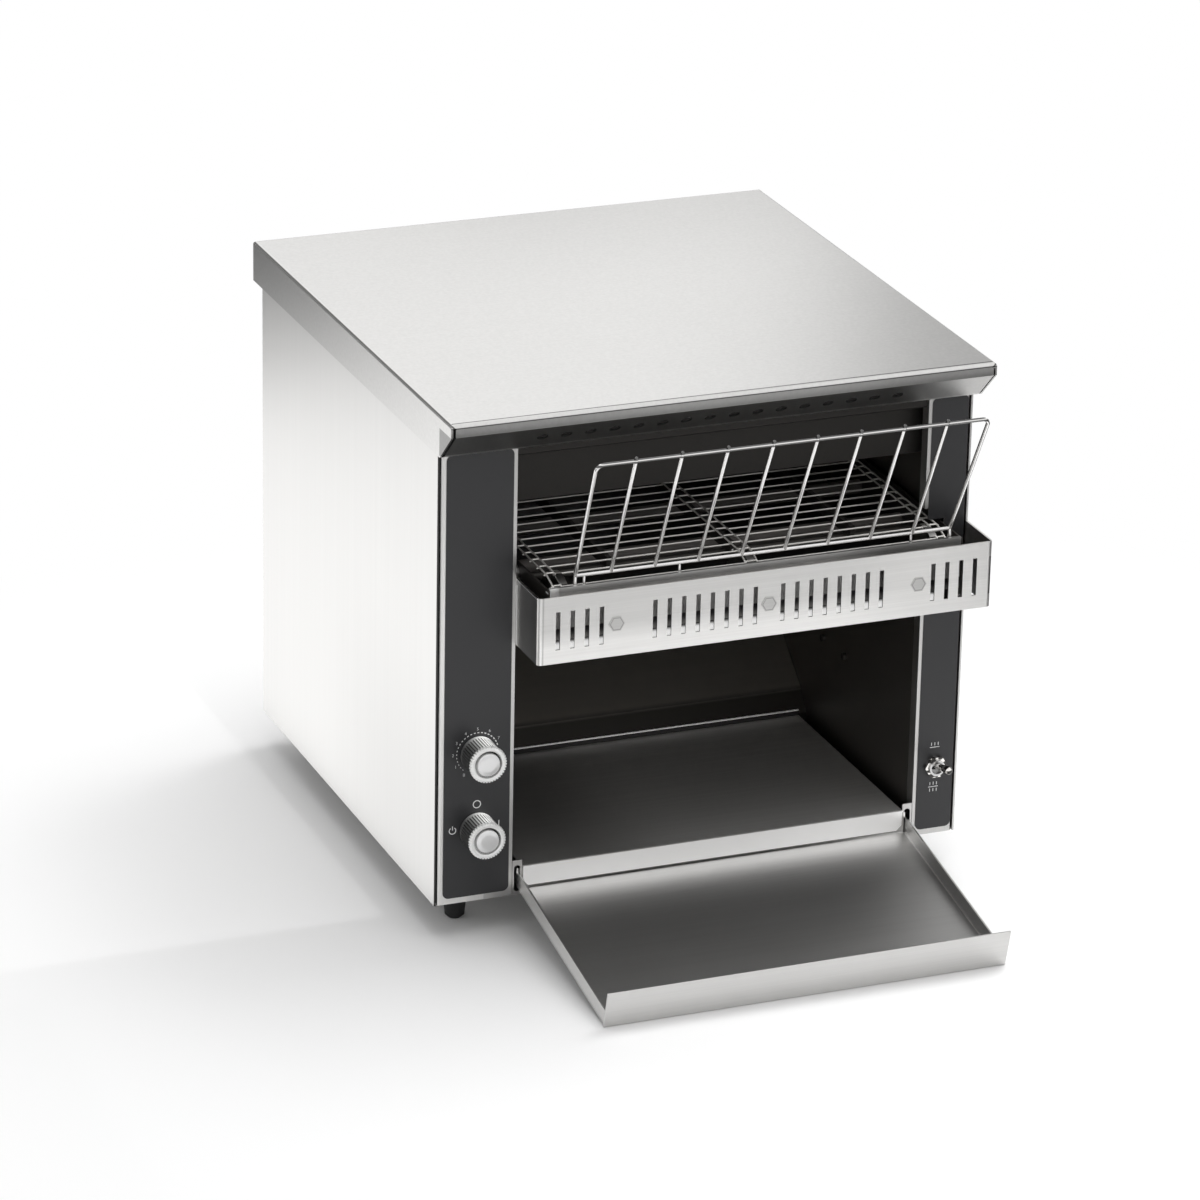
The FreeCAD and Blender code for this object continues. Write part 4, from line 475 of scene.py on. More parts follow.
def make_finishes():
    """Every finish of the machine, by its slot's name."""
    c = settings()
    steel = tuple(c.steel_colour)
    made = {}
    made["case_steel"] = brushed("case_steel", steel, "z")
    made["cover_steel"] = brushed("cover_steel", steel, "x", 0.34, 0.06, 0.06, cover_tone)
    made["guard_steel"] = brushed("guard_steel", steel, "x", 0.34, 0.2, 0.06, guard_tone)
    made["channel_steel"] = brushed("channel_steel", (0.62, 0.61, 0.60), "x", 0.36, 0.3, 0.1,
                                    channel_tone, 0.85)
    made["tray_steel"] = brushed("tray_steel", (0.65, 0.645, 0.635), "x", 0.4, 0.14, 0.06, tray_tone)
    # A painted glow for the channel's lower flange.
    made["flange_white"] = flange_light()
    # A near-white finish that is a painted highlight on the fold at the channel's left end.
    made["fold_white"] = smooth_metal("fold_white", (0.95, 0.95, 0.94), 0.35).set("Metallic", 0.2)
    made["stud_steel"] = brushed("stud_steel", steel, "x", 0.34, 0.2, 0.06, stud_tone)
    made["column_steel"] = brushed("column_steel", steel, "z", 0.34, 0.12, 0.06, column_tone)
    made["side_steel"] = brushed("side_steel", steel, "z", 0.34, 0.1, 0.06, side_tone)
    made["housing_steel"] = dark_sheet("housing_steel", (0.028, 0.026, 0.024))
    made["chute_steel"] = brushed("chute_steel", (0.19, 0.18, 0.165), "x", 0.45, local=chute_tone)
    made["inner_steel"] = brushed("inner_steel", (0.22, 0.205, 0.19), "x", 0.42)
    made["pan_steel"] = brushed("pan_steel", (0.69, 0.68, 0.665), "x", 0.48, 0.25, 0.1, pan_tone, 0.75)
    made["dark_steel"] = dark_sheet("dark_steel", (0.06, 0.056, 0.052))
    made["fastener_steel"] = smooth_metal("fastener_steel", (0.62, 0.61, 0.60), 0.3)
    made["bronze"] = dark_sheet("bronze", (0.42, 0.30, 0.15), 0.45, 1.0)
    made["shaft_steel"] = brushed("shaft_steel", (0.5, 0.49, 0.48), "y", 0.3)
    made["cast_metal"] = moulded("cast_metal", (0.20, 0.21, 0.22), 0.55, 500, 0.0002).set("Metallic", 0.6)
    made["belt_wire"] = smooth_metal("belt_wire", (0.97, 0.95, 0.91), 0.2).set("Metallic", 0.45)
    made["heater_sheath"] = moulded("heater_sheath", (0.22, 0.20, 0.19), 0.6)
    made["ceramic"] = moulded("ceramic", (0.78, 0.76, 0.70), 0.7)
    made["rack_chrome"] = rack_plating()
    made["knob_silver"] = knob_metal()
    made["knob_cap"] = smooth_metal("knob_cap", (0.82, 0.82, 0.82), 0.3).set("Metallic", 0.6)
    made["knob_groove"] = groove_shadow()
    made["toggle_chrome"] = bright_chrome()
    made["switch_metal"] = smooth_metal("switch_metal", (0.6, 0.6, 0.6), 0.3)
    made["charcoal_face"] = moulded("charcoal_face", tuple(c.face_colour), 0.42, 1600, 0.00002)
    made["black_rubber"] = moulded("black_rubber", (0.012, 0.012, 0.012), 0.75, 700)
    made["black_plastic"] = moulded("black_plastic", (0.02, 0.02, 0.021), 0.5)
    made["board_green"] = moulded("board_green", (0.03, 0.15, 0.07), 0.4, 300, 0.0001)
    made["face_print"] = Paint("face_print", tuple(c.print_colour), 0.5)
    return {slot: paint.material for slot, paint in made.items()}


SLOTS = {entry["node"]: entry["material_slot"] for entry in frame["record"]["subparts"]}
OWN_FINISH = {"bumper_guard": "guard_steel", "nose_channel": "channel_steel", "product_tray": "tray_steel",
              "upper_heater_housing": "housing_steel", "rear_chute": "chute_steel",
              "wall_screws": "dark_steel", "guard_studs": "stud_steel", "left_front_column": "column_steel",
              "right_front_column": "column_steel", "left_side_panel": "side_steel"}


def finish(name):
    return bpy.data.materials[name + "_finish"]


def dress(obj, material, smooth_angle=None):
    obj.data.materials.clear()
    obj.data.materials.append(material)
    if smooth_angle is not None:
        for face in obj.data.polygons:
            face.use_smooth = True
        obj.data.set_sharp_from_angle(angle=math.radians(smooth_angle))
    return obj


# Mesh helpers


def new_object(name, mesh):
    obj = bpy.data.objects.new(name, mesh)
    bpy.context.scene.collection.objects.link(obj)
    return obj


def mesh_from(name, points, faces):
    mesh = bpy.data.meshes.new(name)
    mesh.from_pydata([tuple(p) for p in points], [], faces)
    bm = bmesh.new()
    bm.from_mesh(mesh)
    bmesh.ops.remove_doubles(bm, verts=bm.verts, dist=1e-7)
    bmesh.ops.recalc_face_normals(bm, faces=bm.faces)
    bm.to_mesh(mesh)
    bm.free()
    return mesh


def join_meshes(name, meshes):
    """Several meshes as one, their materials kept."""
    bm = bmesh.new()
    materials = []
    for mesh in meshes:
        start = len(bm.faces)
        bm.from_mesh(mesh)
        bm.faces.ensure_lookup_table()
        for face in bm.faces[start:]:
            material = mesh.materials[face.material_index] if mesh.materials else None
            if material not in materials:
                materials.append(material)
            face.material_index = materials.index(material)
    whole = bpy.data.meshes.new(name)
    bm.to_mesh(whole)
    bm.free()
    for material in materials:
        whole.materials.append(material)
    return whole


def rounded(points, radius, steps=6):
    """The points with every inner corner turned into an arc."""
    path = [points[0]]
    for before, corner, after in zip(points, points[1:], points[2:]):
        back = (before - corner).normalized()
        onward = (after - corner).normalized()
        half = back.angle(onward) / 2
        inset = radius / math.tan(half)
        centre = corner + (back + onward).normalized() * (radius / math.sin(half))
        first = corner + back * inset - centre
        axis = back.cross(onward).normalized()
        sweep = math.pi - 2 * half
        for step in range(steps + 1):
            turn = Matrix.Rotation(-sweep * step / steps, 3, axis)
            path.append(centre + turn @ first)
    path.append(points[-1])
    return path


def tube(name, path, radius, sides=12, domed=True):
    """A round wire along a path, with domed ends."""
    points, faces = [], []
    count = len(path)
    direction = (path[1] - path[0]).normalized()
    across = direction.orthogonal().normalized()
    rings = []
    for i, centre in enumerate(path):
        if 0 < i < count - 1:
            ahead = ((path[i + 1] - centre).normalized() + (centre - path[i - 1]).normalized()).normalized()
        elif i == 0:
            ahead = direction
        else:
            ahead = (centre - path[i - 1]).normalized()
        across = (across - ahead * across.dot(ahead)).normalized()
        rings.append((centre, ahead, across.copy(), radius))
    if domed:
        for end, sign in ((0, -1), (-1, 1)):
            centre, ahead, side, _ = rings[end]
            extra = []
            for share in (0.5, 0.85):
                angle = math.asin(share)
                place = centre + ahead * (sign * radius * share)
                extra.append((place, ahead, side, radius * math.cos(angle)))
            rings = extra[::-1] + rings if end == 0 else rings + extra
    for centre, ahead, side, size in rings:
        up = ahead.cross(side)
        for k in range(sides):
            angle = 2 * math.pi * k / sides
            points.append(centre + (side * math.cos(angle) + up * math.sin(angle)) * size)
    for i in range(len(rings) - 1):
        for k in range(sides):
            a, b = i * sides + k, i * sides + (k + 1) % sides
            faces.append((a, b, b + sides, a + sides))
    faces.append(tuple(reversed(range(sides))))
    faces.append(tuple(range((len(rings) - 1) * sides, len(rings) * sides)))
    return mesh_from(name, points, faces)


def lathe(name, outline, steps, centre, axis, radius_at=None):
    """A turned form: outline holds (radius, distance along the axis) in millimetres."""
    turn = Vector((0, 0, 1)).rotation_difference(axis).to_matrix()
    points, faces = [], []
    for r, h in outline:
        for k in range(steps):
            angle = 2 * math.pi * k / steps
            size = radius_at(r, h, angle) if radius_at else r
            local = Vector((size * math.cos(angle), size * math.sin(angle), h)) * MM
            points.append(centre + turn @ local)
    rows = len(outline)
    for i in range(rows - 1):
        for k in range(steps):
            a, b = i * steps + k, i * steps + (k + 1) % steps
            faces.append((a, b, b + steps, a + steps))
    faces.append(tuple(reversed(range(steps))))
    faces.append(tuple(range((rows - 1) * steps, rows * steps)))
    return mesh_from(name, points, faces)


# Geometry nodes


class Tree:
    """A geometry node tree with named inputs."""

    def __init__(self, name, inputs):
        self.group = bpy.data.node_groups.new(name, "GeometryNodeTree")
        face = self.group.interface
        face.new_socket("Geometry", in_out="INPUT", socket_type="NodeSocketGeometry")
        for label, kind in inputs.items():
            face.new_socket(label, in_out="INPUT", socket_type=kind)
        face.new_socket("Geometry", in_out="OUTPUT", socket_type="NodeSocketGeometry")
        self.start = self.group.nodes.new("NodeGroupInput")
        self.end = self.group.nodes.new("NodeGroupOutput")

    def input(self, label):
        return self.start.outputs[label]

    def node(self, kind, setup=None, inputs=None, output=0):
        made = self.group.nodes.new(kind)
        for name, value in (setup or {}).items():
            setattr(made, name, value)
        for name, value in (inputs or {}).items():
            if isinstance(value, bpy.types.NodeSocket):
                self.group.links.new(value, made.inputs[name])
            else:
                made.inputs[name].default_value = value
        return made.outputs[output]

    def finish(self, geometry):
        """Realize what the tree made and give it its finish."""
        real = self.node("GeometryNodeRealizeInstances", inputs={"Geometry": geometry})
        dressed = self.node("GeometryNodeSetMaterial",
                            inputs={"Geometry": real, "Material": self.input("Finish")})
        self.group.links.new(dressed, self.end.inputs[0])
        return self

    def mesh(self, name, base, values):
        """Run the tree on a base mesh and return its result as a plain mesh."""
        carrier = new_object(name + "_carrier", base)
        modifier = carrier.modifiers.new(name, "NODES")
        modifier.node_group = self.group
        for item in self.group.interface.items_tree:
            if item.in_out == "INPUT" and item.name in values:
                modifier[item.identifier] = values[item.name]
        graph = bpy.context.evaluated_depsgraph_get()
        result = bpy.data.meshes.new_from_object(carrier.evaluated_get(graph), depsgraph=graph)
        bpy.data.objects.remove(carrier)
        return result


def copies_along(name, piece, first, offset, count, material):
    """Copies of a piece in a row, by a tree with its pitch and count as inputs."""
    tree = Tree(name, {"Piece": "NodeSocketObject", "Start": "NodeSocketVector", "Offset": "NodeSocketVector",
                       "Count": "NodeSocketInt", "Finish": "NodeSocketMaterial"})
    row = tree.node("GeometryNodeMeshLine", {"mode": "OFFSET"},
                    {"Count": tree.input("Count"), "Start Location": tree.input("Start"),
                     "Offset": tree.input("Offset")})
    shape = tree.node("GeometryNodeObjectInfo", inputs={"Object": tree.input("Piece")}, output="Geometry")
    placed = tree.node("GeometryNodeInstanceOnPoints", inputs={"Points": row, "Instance": shape})
    tree.finish(placed)
    model = new_object(name + "_model", piece)
    empty = bpy.data.meshes.new(name + "_base")
    result = tree.mesh(name, empty, {"Piece": model, "Start": first, "Offset": offset, "Count": count,
                                     "Finish": material})
    bpy.data.objects.remove(model)
    return result


# Pieces


def belt_loop(c):
    """The strands' places round the belt, with the direction to the next one."""
    pitch = c.belt_pitch * MM
    teeth, run = BELT_TEETH, BELT_RUN
    radius = pitch / (2 * math.sin(math.pi / teeth))
    top = at(0, BELT_FRONT, BELT_TOP)
    front, rear, middle = top.y, top.y + run * pitch, top.z - radius
    points = [(front + i * pitch, middle + radius) for i in range(run)]
    for i in range(teeth // 2):
        angle = math.pi / 2 - i * 2 * math.pi / teeth
        points.append((rear + radius * math.cos(angle), middle + radius * math.sin(angle)))
    points += [(rear - i * pitch, middle - radius) for i in range(run)]
    for i in range(teeth // 2):
        angle = -math.pi / 2 - i * 2 * math.pi / teeth
        points.append((front + radius * math.cos(angle), middle + radius * math.sin(angle)))
    return points


def belt_strand(c):
    """One wire of the belt, lying along x, with hooked links that reach the next wire along y."""
    pitch = c.belt_pitch
    left, right = BELT_MIDDLE - BELT_HALF, BELT_MIDDLE + BELT_HALF
    wire = c.belt_wire
    path = [Vector((left, 0, 0))]
    for column, half in ((left + 3.7, 2.8), (BELT_MIDDLE, 4.0), (right - 3.7, 2.8)):
        for leg, way in ((column - half, 1), (column + half, -1)):
            rise = [Vector((leg, along, up)) for along, up in (
                (0, 0), (1.2, wire * 0.55), (pitch - 1.2, wire * 0.75), (pitch + wire * 0.62, wire * 0.55))]
            path += rise if way > 0 else rise[::-1]
    path.append(Vector((right, 0, 0)))
    path = [point * MM for point in path]
    return tube("strand", rounded_each(path, 0.9 * MM), wire * MM / 2, 8)


def rounded_each(points, radius):
    """The points with each corner turned by the radius or by what its runs allow."""
    path = [points[0]]
    for before, corner, after in zip(points, points[1:], points[2:]):
        back, onward = before - corner, after - corner
        half = back.normalized().angle(onward.normalized()) / 2
        if half > math.radians(86):
            path.append(corner)
            continue
        size = min(radius, 0.45 * min(back.length, onward.length) * math.tan(half))
        path += rounded([before, corner, after], size, 3)[1:-1]
    path.append(points[-1])
    return path


class TOASTER_OT_belt(bpy.types.Operator):
    """Make the wire belt: one hooked strand repeated round its two sprocket shafts"""

    bl_idname = "toaster.belt"
    bl_label = "Wire belt"

    def execute(self, context):
        c = settings()
        loop = belt_loop(c)
        base = bpy.data.meshes.new("belt_loop")
        base.from_pydata([(0, y, z) for y, z in loop], [], [])
        travel = base.attributes.new("travel", "FLOAT_VECTOR", "POINT")
        for i, (y, z) in enumerate(loop):
            after = loop[(i + 1) % len(loop)]
            travel.data[i].vector = Vector((0, after[0] - y, after[1] - z)).normalized()
        tree = Tree("belt_round_shafts", {"Strand": "NodeSocketObject", "Finish": "NodeSocketMaterial"})
        points = tree.node("GeometryNodeMeshToPoints", inputs={"Mesh": tree.input("Geometry")})
        way = tree.node("GeometryNodeInputNamedAttribute", {"data_type": "FLOAT_VECTOR"}, {"Name": "travel"})
        turn = tree.node("FunctionNodeAxesToRotation", {"primary_axis": "Y", "secondary_axis": "X"},
                         {"Primary Axis": way, "Secondary Axis": (1, 0, 0)})
        shape = tree.node("GeometryNodeObjectInfo", inputs={"Object": tree.input("Strand")},
                          output="Geometry")
        placed = tree.node("GeometryNodeInstanceOnPoints", inputs={"Points": points, "Instance": shape,
                                                                   "Rotation": turn})
        tree.finish(placed)
        strand = new_object("strand_model", belt_strand(c))
        mesh = tree.mesh("wire_belt", base, {"Strand": strand, "Finish": finish("belt_wire")})
        bpy.data.objects.remove(strand)
        belt = dress(new_object("wire_belt", mesh), finish("belt_wire"), 50)
        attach(belt, "case")
        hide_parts("conveyor_belt")
        return {"FINISHED"}


def guide_wire(x, lean, radius):
    """One straight wire of the rack, from its lower bar to just past its upper one."""
    foot, head = at(x, *RACK_FOOT), at(x - lean, *RACK_HEAD)
    return tube("guide_wire", [foot, head + (head - foot).normalized() * (2.4 * MM)], radius, 16)


class TOASTER_OT_rack(bpy.types.Operator):
    """Make the loading rack: a bent frame, its lower bar, eight guide wires and its hooks"""

    bl_idname = "toaster.rack"
    bl_label = "Loading rack"

    def execute(self, context):
        c = settings()
        radius = c.rack_wire * MM / 2
        foot_y, hook_end, drop_end = RACK_FOOT[0], 239.6, 242.7
        head_left, head_right = -107, 160.3
        corners = [at(RACK_LEFT, foot_y, hook_end), at(RACK_LEFT, *RACK_FOOT), at(head_left, *RACK_HEAD),
                   at(head_right, *RACK_HEAD), at(RACK_RIGHT, *RACK_FOOT), at(RACK_RIGHT, foot_y, hook_end)]
        meshes = [tube("rack_frame", rounded(corners, 5 * MM, 8), radius, 16),
                  tube("rack_bar", [at(RACK_LEFT, *RACK_FOOT), at(RACK_RIGHT, *RACK_FOOT)], radius, 16)]
        for x in (-95.9, -30.9, 130.0):
            meshes.append(tube("rack_drop", [at(x, *RACK_FOOT), at(x, foot_y, drop_end)], MM, 12, False))
        first, pitch, leaning, wires = -77.7, 29.8, 3, 8
        for i in range(leaning):
            meshes.append(guide_wire(first + i * pitch, (leaning - i) * 1.1, radius))
        straight = guide_wire(first + leaning * pitch, 0, radius)
        meshes.append(copies_along("guide_wires", straight, (0, 0, 0), (pitch * MM, 0, 0), wires - leaning,
                                   finish("rack_chrome")))
        rack = dress(new_object("guide_rack", join_meshes("guide_rack", meshes)), finish("rack_chrome"), 50)
        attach(rack, "loading_guide")
        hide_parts("loading_rack")
        return {"FINISHED"}


def knob_part(name, outline, steps, height, radius_at=None):
    """One turned part of a knob, with its axis straight out of the face."""
    return lathe(name, outline, steps, at(KNOB_X, KNOB_FOOT, height), Vector((0, -1, 0)), radius_at)


def knob_body(name, height):
    """A knob with a smooth foot, forty flutes up to its scalloped rim and a recessed ring round its cap."""
    outline = [(11.5, 0), (11.9, 0.4), (12.0, 2.6), (12.0, 3.6), (12.0, 17.0), (12.6, 17.8), (12.65, 19.3),
               (12.3, 19.85), (11.4, 20), (9.7, 20), (9.3, 19.8), (9.2, 17.4)]

    def fluted(r, h, angle):
        depth = 0.8 if 3 < h < 17.5 else 1.1 if h > 17.5 and r > 12 else 0
        return r - depth * (0.5 + 0.5 * math.cos(KNOB_FLUTES * angle)) ** 2

    return knob_part(name, outline, 8 * KNOB_FLUTES, height, fluted)


def slab(name, low, high):
    """A small box between two corners, in millimetres from the face of the columns."""
    points = [at(x, y, z) for x in (low[0], high[0]) for y in (low[1], high[1]) for z in (low[2], high[2])]
    faces = [(0, 1, 3, 2), (4, 6, 7, 5), (0, 4, 5, 1), (2, 3, 7, 6), (0, 2, 6, 4), (1, 5, 7, 3)]
    return mesh_from(name, points, faces)


class TOASTER_OT_trim(bpy.types.Operator):
    """Make the channel's lower flange and the strip that closes the right column over the belt"""

    bl_idname = "toaster.trim"
    bl_label = "Trim"

    def execute(self, context):
        flange = slab("channel_flange", (-118, -32.4, 204), (148, -31.4, 212.8))
        # The flange's finish carries a painted glow.
        flange = dress(new_object("channel_flange", flange), finish("flange_white"))
        fold = join_meshes("channel_fold", [slab("fold", (-120.6, -32.4, 236.5), (-118.2, -31.4, 245.8)),
                                            slab("fold", (-121.8, -32.4, 244.9), (-110, -28.8, 245.8))])
        # The fold's near-white finish is a painted highlight.
        fold = dress(new_object("channel_fold", fold), finish("fold_white"))
        strip = slab("column_strip", (155.2, -0.5, 249.4), (167.6, 0.4, 257.6))
        strip = dress(new_object("column_strip", strip), finish("charcoal_face"))
        for piece, slot in ((flange, "inner_steel"), (fold, "case_steel"), (strip, "charcoal_face")):
            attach(piece, "case")
        return {"FINISHED"}


class TOASTER_OT_knobs(bpy.types.Operator):
    """Make the speed and power knobs, each with its ring and cap"""

    bl_idname = "toaster.knobs"
    bl_label = "Knobs"

    def execute(self, context):
        cap_outline = [(7.7, 17.4), (7.7, 20.0), (7.55, 20.35), (7.2, 20.6), (4.0, 20.68), (0.01, 20.7)]
        ring_outline = [(7.5, 17.3), (9.35, 17.3), (9.35, 17.5), (7.5, 17.5)]
        for label, height in KNOB_HEIGHTS.items():
            grip, button, groove = (label + ending for ending in ("_grip", "_button", "_ring"))
            body = dress(new_object(grip, knob_body(grip, height)), finish("knob_silver"), 35)
            cap = knob_part(button, cap_outline, 96, height)
            cap = dress(new_object(button, cap), finish("knob_cap"), 35)
            ring = knob_part(groove, ring_outline, 96, height)
            ring = dress(new_object(groove, ring), finish("knob_groove"), 35)
            for piece, slot in ((body, "knob_silver"), (cap, "knob_cap"), (ring, "black_plastic")):
                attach(piece, label + "_control")
            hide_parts(label + "_knob")
            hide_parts(label + "_knob_cap")
        return {"FINISHED"}


def flat_text(text, x, z, size):
    """Letters as a flat mesh on the front face."""
    curve = bpy.data.curves.new("mark", "FONT")
    curve.body = text
    curve.size = size * MM
    curve.align_x = "CENTER"
    curve.align_y = "CENTER"
    curve.extrude = 0.02 * MM
    curve.offset = -0.016 * size * MM
    carrier = new_object("mark_carrier", curve)
    graph = bpy.context.evaluated_depsgraph_get()
    mesh = bpy.data.meshes.new_from_object(carrier.evaluated_get(graph), depsgraph=graph)
    bpy.data.objects.remove(carrier)
    mesh.transform(Matrix.Translation(at(x, -0.53, z)) @ Matrix.Rotation(math.radians(90), 4, "X"))
    return mesh


def print_arc(x, z, radius, width, start, end, steps=24):
    """A thin printed arc on the front face, angles clockwise from straight up."""
    points, faces = [], []
    for i in range(steps + 1):
        angle = math.radians(start + (end - start) * i / steps)
        for size in (radius - width / 2, radius + width / 2):
            for depth in (PRINT_BACK, PRINT_FRONT):
                points.append(at(x + size * math.sin(angle), depth, z + size * math.cos(angle)))
    for i in range(steps):
        a = i * 4
        for j, k in ((0, 1), (1, 3), (3, 2), (2, 0)):
            faces.append((a + j, a + k, a + k + 4, a + j + 4))
    last = steps * 4
    faces.append((0, 1, 3, 2))
    faces.append((last, last + 2, last + 3, last + 1))
    return mesh_from("arc", points, faces)


def print_bar(x0, z0, x1, z1, width):
    """A thin printed stroke on the front face."""
    along = Vector((x1 - x0, 0, z1 - z0)).normalized()
    side = Vector((-along.z, 0, along.x)) * (width / 2)
    points = []
    for depth in (PRINT_BACK, PRINT_FRONT):
        for px, pz, sign in ((x0, z0, 1), (x1, z1, 1), (x1, z1, -1), (x0, z0, -1)):
            points.append(at(px + side.x * sign, depth, pz + side.z * sign))
    faces = [(0, 1, 2, 3), (7, 6, 5, 4)] + [(k, (k + 1) % 4, 4 + (k + 1) % 4, 4 + k) for k in range(4)]
    return mesh_from("bar", points, faces)


class TOASTER_OT_print(bpy.types.Operator):
    """Print the speed dial, the power marks and the heat marks on the two front faces"""

    bl_idname = "toaster.print"
    bl_label = "Dial print"

    def execute(self, context):
        x, z = KNOB_X, KNOB_HEIGHTS["speed"]
        digit_radius, first_digit, digit_turn = 16.7, -147, 29.4
        dash_radius, first_dash, dash_turn, dashes = 14.2, -138, 9.8, 22
        marks = []
        for number in range(8):
            angle = math.radians(first_digit + digit_turn * number)
            place = x + digit_radius * math.sin(angle), z + digit_radius * math.cos(angle)
            marks.append(flat_text(str(number), *place, 2.9))
        for step in range(dashes):
            start = first_dash + step * dash_turn
            bold = step / (dashes - 1)
            marks.append(print_arc(x, z, dash_radius, 0.3 + 0.5 * bold, start, start + 3.2 + 2.8 * bold, 3))
        z = KNOB_HEIGHTS["power"]
        marks.append(print_arc(x, z + 17.6, 2.5, 0.65, 0, 360, 32))
        marks.append(print_arc(x - 16.5, z + 1.3, 2.25, 0.6, 35, 325, 24))
        marks.append(print_bar(x - 16.5, z + 1.6, x - 16.5, z + 4.4, 0.6))
        marks.append(print_bar(x + 15.2, z + 0.6, x + 15.2, z + 4.4, 0.65))
        left = dress(new_object("dial_print", join_meshes("dial_print", marks)), finish("face_print"))
        marks = []
        for row, sides in ((87.4, (1,)), (59.0, (1, -1))):
            marks.append(print_bar(163.8, row, 170.8, row, 0.5))
            for side in sides:
                for wave in range(3):
                    wx = 164.9 + wave * 2.4
                    marks.append(print_bar(wx, row + side * 1.2, wx, row + side * 3.4, 0.5))
        right = dress(new_object("heat_print", join_meshes("heat_print", marks)), finish("face_print"))
        for piece in (left, right):
            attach(piece, "case")
        return {"FINISHED"}


class TOASTER_OT_finishes(bpy.types.Operator):
    """Make every finish and give the modelled pieces theirs"""

    bl_idname = "toaster.finishes"
    bl_label = "Finishes"

    def execute(self, context):
        made = make_finishes()
        for node, obj in frame["nodes"].items():
            dress(obj, made[OWN_FINISH.get(node, SLOTS[node])])
        return {"FINISHED"}


def area_lamp(name, place, target, size, power):
    lamp = bpy.data.lights.new(name, "AREA")
    lamp.shape = "RECTANGLE"
    lamp.size, lamp.size_y = size
    lamp.energy = power
    obj = new_object(name, lamp)
    obj.location = place
    obj.rotation_euler = (Vector(target) - Vector(place)).to_track_quat("-Z", "Y").to_euler()
    obj.visible_glossy = False
    return obj


def floor_white():
    """White paper that keeps the shadows near the machine and turns to plain white further out."""
    paint = Paint("floor_white", (0.93, 0.93, 0.93), 0.9)
    x, y, z = paint.axes()
    distance = ((x * x + y * y) ** 0.5) / 1000
    seen = paint.node("ShaderNodeLightPath", output="Is Camera Ray")
    white = paint.node("ShaderNodeEmission", inputs={"Color": (1, 1, 1), "Strength": 1.0})
    mixed = paint.node("ShaderNodeMixShader", inputs={0: seen * distance.smooth(0.3, 0.75)})
    mixer = mixed.socket.node
    output = paint.tree.nodes["Material Output"]
    paint.tree.links.new(paint.shader.outputs[0], mixer.inputs[1])
    paint.tree.links.new(white.socket, mixer.inputs[2])
    paint.tree.links.new(mixer.outputs[0], output.inputs[0])
    return paint.material


CARDS = (
    ("back_card", (-1.4, 1.2, 0.65), (0.70, 1.2, 2.2), 1.5),
    ("back_flag", (0.70, 1.2, 0.65), (1.9, 1.2, 2.2), 0.45),
    ("side_card", (-1.6, -0.05, 0.002), (-0.2, 0.95, 0.002), 1.65),
    ("side_flag", (-1.6, 1.15, 0.0), (0.4, 1.15, 0.5), 0.1),
    ("front_flag", (-0.6, -2.2, 0.002), (1.6, -0.85, 0.002), 0.45),
    ("left_flag", (-1.5, -0.6, 0.003), (-0.45, -0.1, 0.003), 0.12),
    ("right_flag", (0.45, -0.75, 0.003), (1.6, 0.5, 0.003), 0.12),
)


def card(name, low, high, strength):
    """A pale or dark card, upright or flat, that only shows in the metal's reflections, as in a studio."""
    upright = low[1] == high[1]
    far = (low[0], low[1], high[2]) if upright else (low[0], high[1], low[2])
    corners = (low, (high[0], low[1], low[2]), high, far)
    paint = Paint(name, (0, 0, 0), 1.0)
    glow = paint.node("ShaderNodeEmission", inputs={"Color": (1, 1, 1), "Strength": strength})
    paint.tree.links.new(glow.socket, paint.tree.nodes["Material Output"].inputs[0])
    obj = dress(new_object(name, mesh_from(name, corners, [(0, 1, 2, 3)])), paint.material)
    for ray in ("camera", "diffuse", "shadow", "transmission", "volume_scatter"):
        setattr(obj, "visible_" + ray, False)
    return obj


class TOASTER_OT_stage(bpy.types.Operator):
    """Set the camera, the lamps, the white surroundings and the floor"""

    bl_idname = "toaster.stage"
    bl_label = "Stage"

    def execute(self, context):
        c = settings()
        scene = context.scene
        scene.view_settings.view_transform = "Standard"
        lens = bpy.data.cameras.new("camera")
        lens.lens = 171.844
        lens.sensor_width = 36.0
        lens.clip_end = 50
        camera = new_object("camera", lens)
        camera.location = at(-1348.58, -3140.88, 1572.05)
        camera.rotation_euler = tuple(math.radians(a) for a in (68.2915, -1.1017, -21.6621))
        scene.camera = camera

        world = bpy.data.worlds.new("surroundings")
        world.use_nodes = True
        scene.world = world
        tree = world.node_tree
        tree.nodes.clear()
        out = tree.nodes.new("ShaderNodeOutputWorld")
        light, seen = (tree.nodes.new("ShaderNodeBackground") for _ in range(2))
        light.inputs[0].default_value = (1, 1, 1, 1)
        light.inputs[1].default_value = c.fill_light
        seen.inputs[0].default_value = (1, 1, 1, 1)
        seen.inputs[1].default_value = 1.0
        path = tree.nodes.new("ShaderNodeLightPath")
        both = tree.nodes.new("ShaderNodeMath")
        both.operation = "MAXIMUM"
        tree.links.new(path.outputs["Is Camera Ray"], both.inputs[0])
        tree.links.new(path.outputs["Is Glossy Ray"], both.inputs[1])
        mixer = tree.nodes.new("ShaderNodeMixShader")
        tree.links.new(both.outputs[0], mixer.inputs[0])
        tree.links.new(light.outputs[0], mixer.inputs[1])
        tree.links.new(seen.outputs[0], mixer.inputs[2])
        tree.links.new(mixer.outputs[0], out.inputs[0])

        size = 12.0
        corners = [(-size, -size, 0), (size, -size, 0), (size, size, 0), (-size, size, 0)]
        floor_mesh = mesh_from("floor", corners, [(0, 1, 2, 3)])
        floor = new_object("floor", floor_mesh)
        dress(floor, floor_white())

        area_lamp("right_softbox", (1.15, 0.35, 1.8), (0, 0, 0.1), (1.4, 1.4), c.right_light)
        area_lamp("top_softbox", (0.1, -0.2, 2.2), (0, 0, 0.1), (2.0, 2.0), c.top_light)
        for name, low, high, strength in CARDS:
            card(name, low, high, strength)
        return {"FINISHED"}


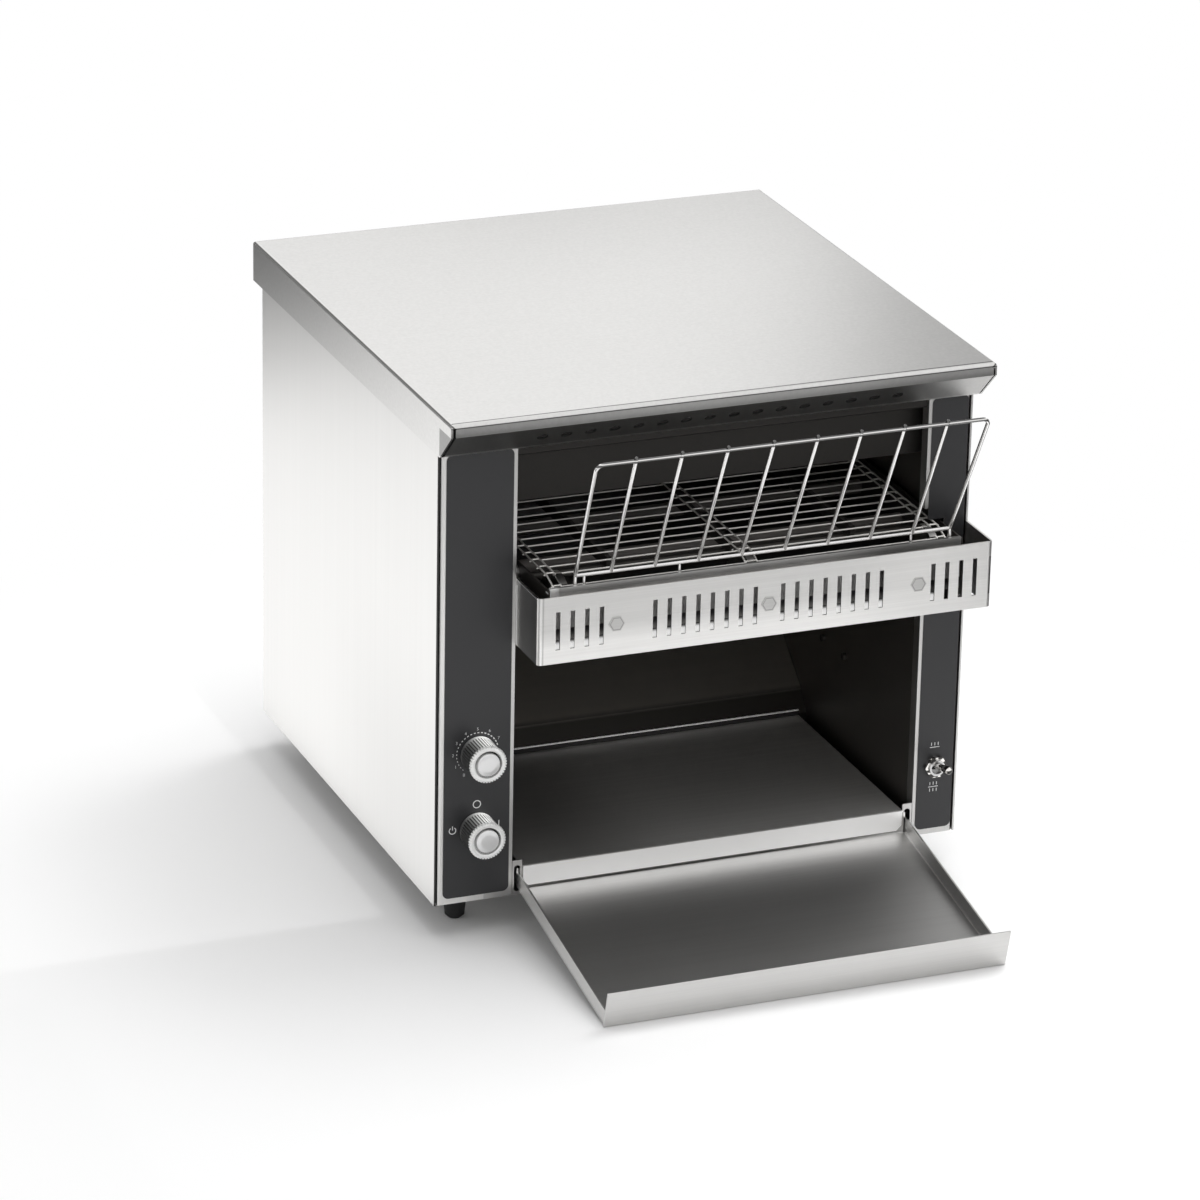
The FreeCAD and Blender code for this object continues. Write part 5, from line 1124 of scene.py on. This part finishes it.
class ToasterSettings(bpy.types.PropertyGroup):
    """Sizes and colours that a user would change."""

    belt_pitch: FloatProperty(name="Belt pitch", description="Distance between strands, in millimetres",
                              default=12.7, min=8, max=20)
    belt_wire: FloatProperty(name="Belt wire", description="Diameter of the belt's wire, in millimetres",
                             default=1.3, min=1, max=2.5)
    rack_wire: FloatProperty(name="Rack wire", description="Diameter of the rack's wire, in millimetres",
                             default=2.6, min=2, max=5)
    steel_colour: FloatVectorProperty(name="Steel", description="Colour of the brushed case",
                                      default=(0.56, 0.555, 0.545), subtype="COLOR", min=0, max=1)
    face_colour: FloatVectorProperty(name="Face", description="Colour of the two printed faces",
                                     default=(0.024, 0.024, 0.026), subtype="COLOR", min=0, max=1)
    right_light: FloatProperty(name="Right lamp", description="Power of the lamp on the right, in watts",
                               default=24, min=0, max=200)
    top_light: FloatProperty(name="Top lamp", description="Power of the lamp above the machine, in watts",
                             default=24, min=0, max=200)
    fill_light: FloatProperty(name="Fill", description="Strength of the light from all round",
                              default=0.5, min=0, max=1)
    print_colour: FloatVectorProperty(name="Print", description="Colour of the marks on the faces",
                                      default=(0.85, 0.85, 0.85), subtype="COLOR", min=0, max=1)


PIECES = (TOASTER_OT_stage, TOASTER_OT_finishes, TOASTER_OT_belt, TOASTER_OT_rack, TOASTER_OT_trim,
          TOASTER_OT_knobs, TOASTER_OT_print)


class TOASTER_PT_panel(bpy.types.Panel):
    """The toaster's pieces, listed in the sidebar"""

    bl_idname = "TOASTER_PT_panel"
    bl_label = "Conveyor Toaster"
    bl_space_type = "VIEW_3D"
    bl_region_type = "UI"
    bl_category = "Toaster"

    def draw(self, context):
        for name in ToasterSettings.__annotations__:
            self.layout.prop(context.scene.toaster, name)
        for piece in PIECES:
            self.layout.operator(piece.bl_idname)


CLASSES = (ToasterSettings,) + PIECES + (TOASTER_PT_panel,)


def register():
    for cls in CLASSES:
        bpy.utils.register_class(cls)
    bpy.types.Scene.toaster = PointerProperty(type=ToasterSettings)


def unregister():
    del bpy.types.Scene.toaster
    for cls in reversed(CLASSES):
        bpy.utils.unregister_class(cls)


def main():
    register()
    for piece in PIECES:
        group, name = piece.bl_idname.split(".")
        getattr(getattr(bpy.ops, group), name)()


if __name__ == "__main__":
    main()
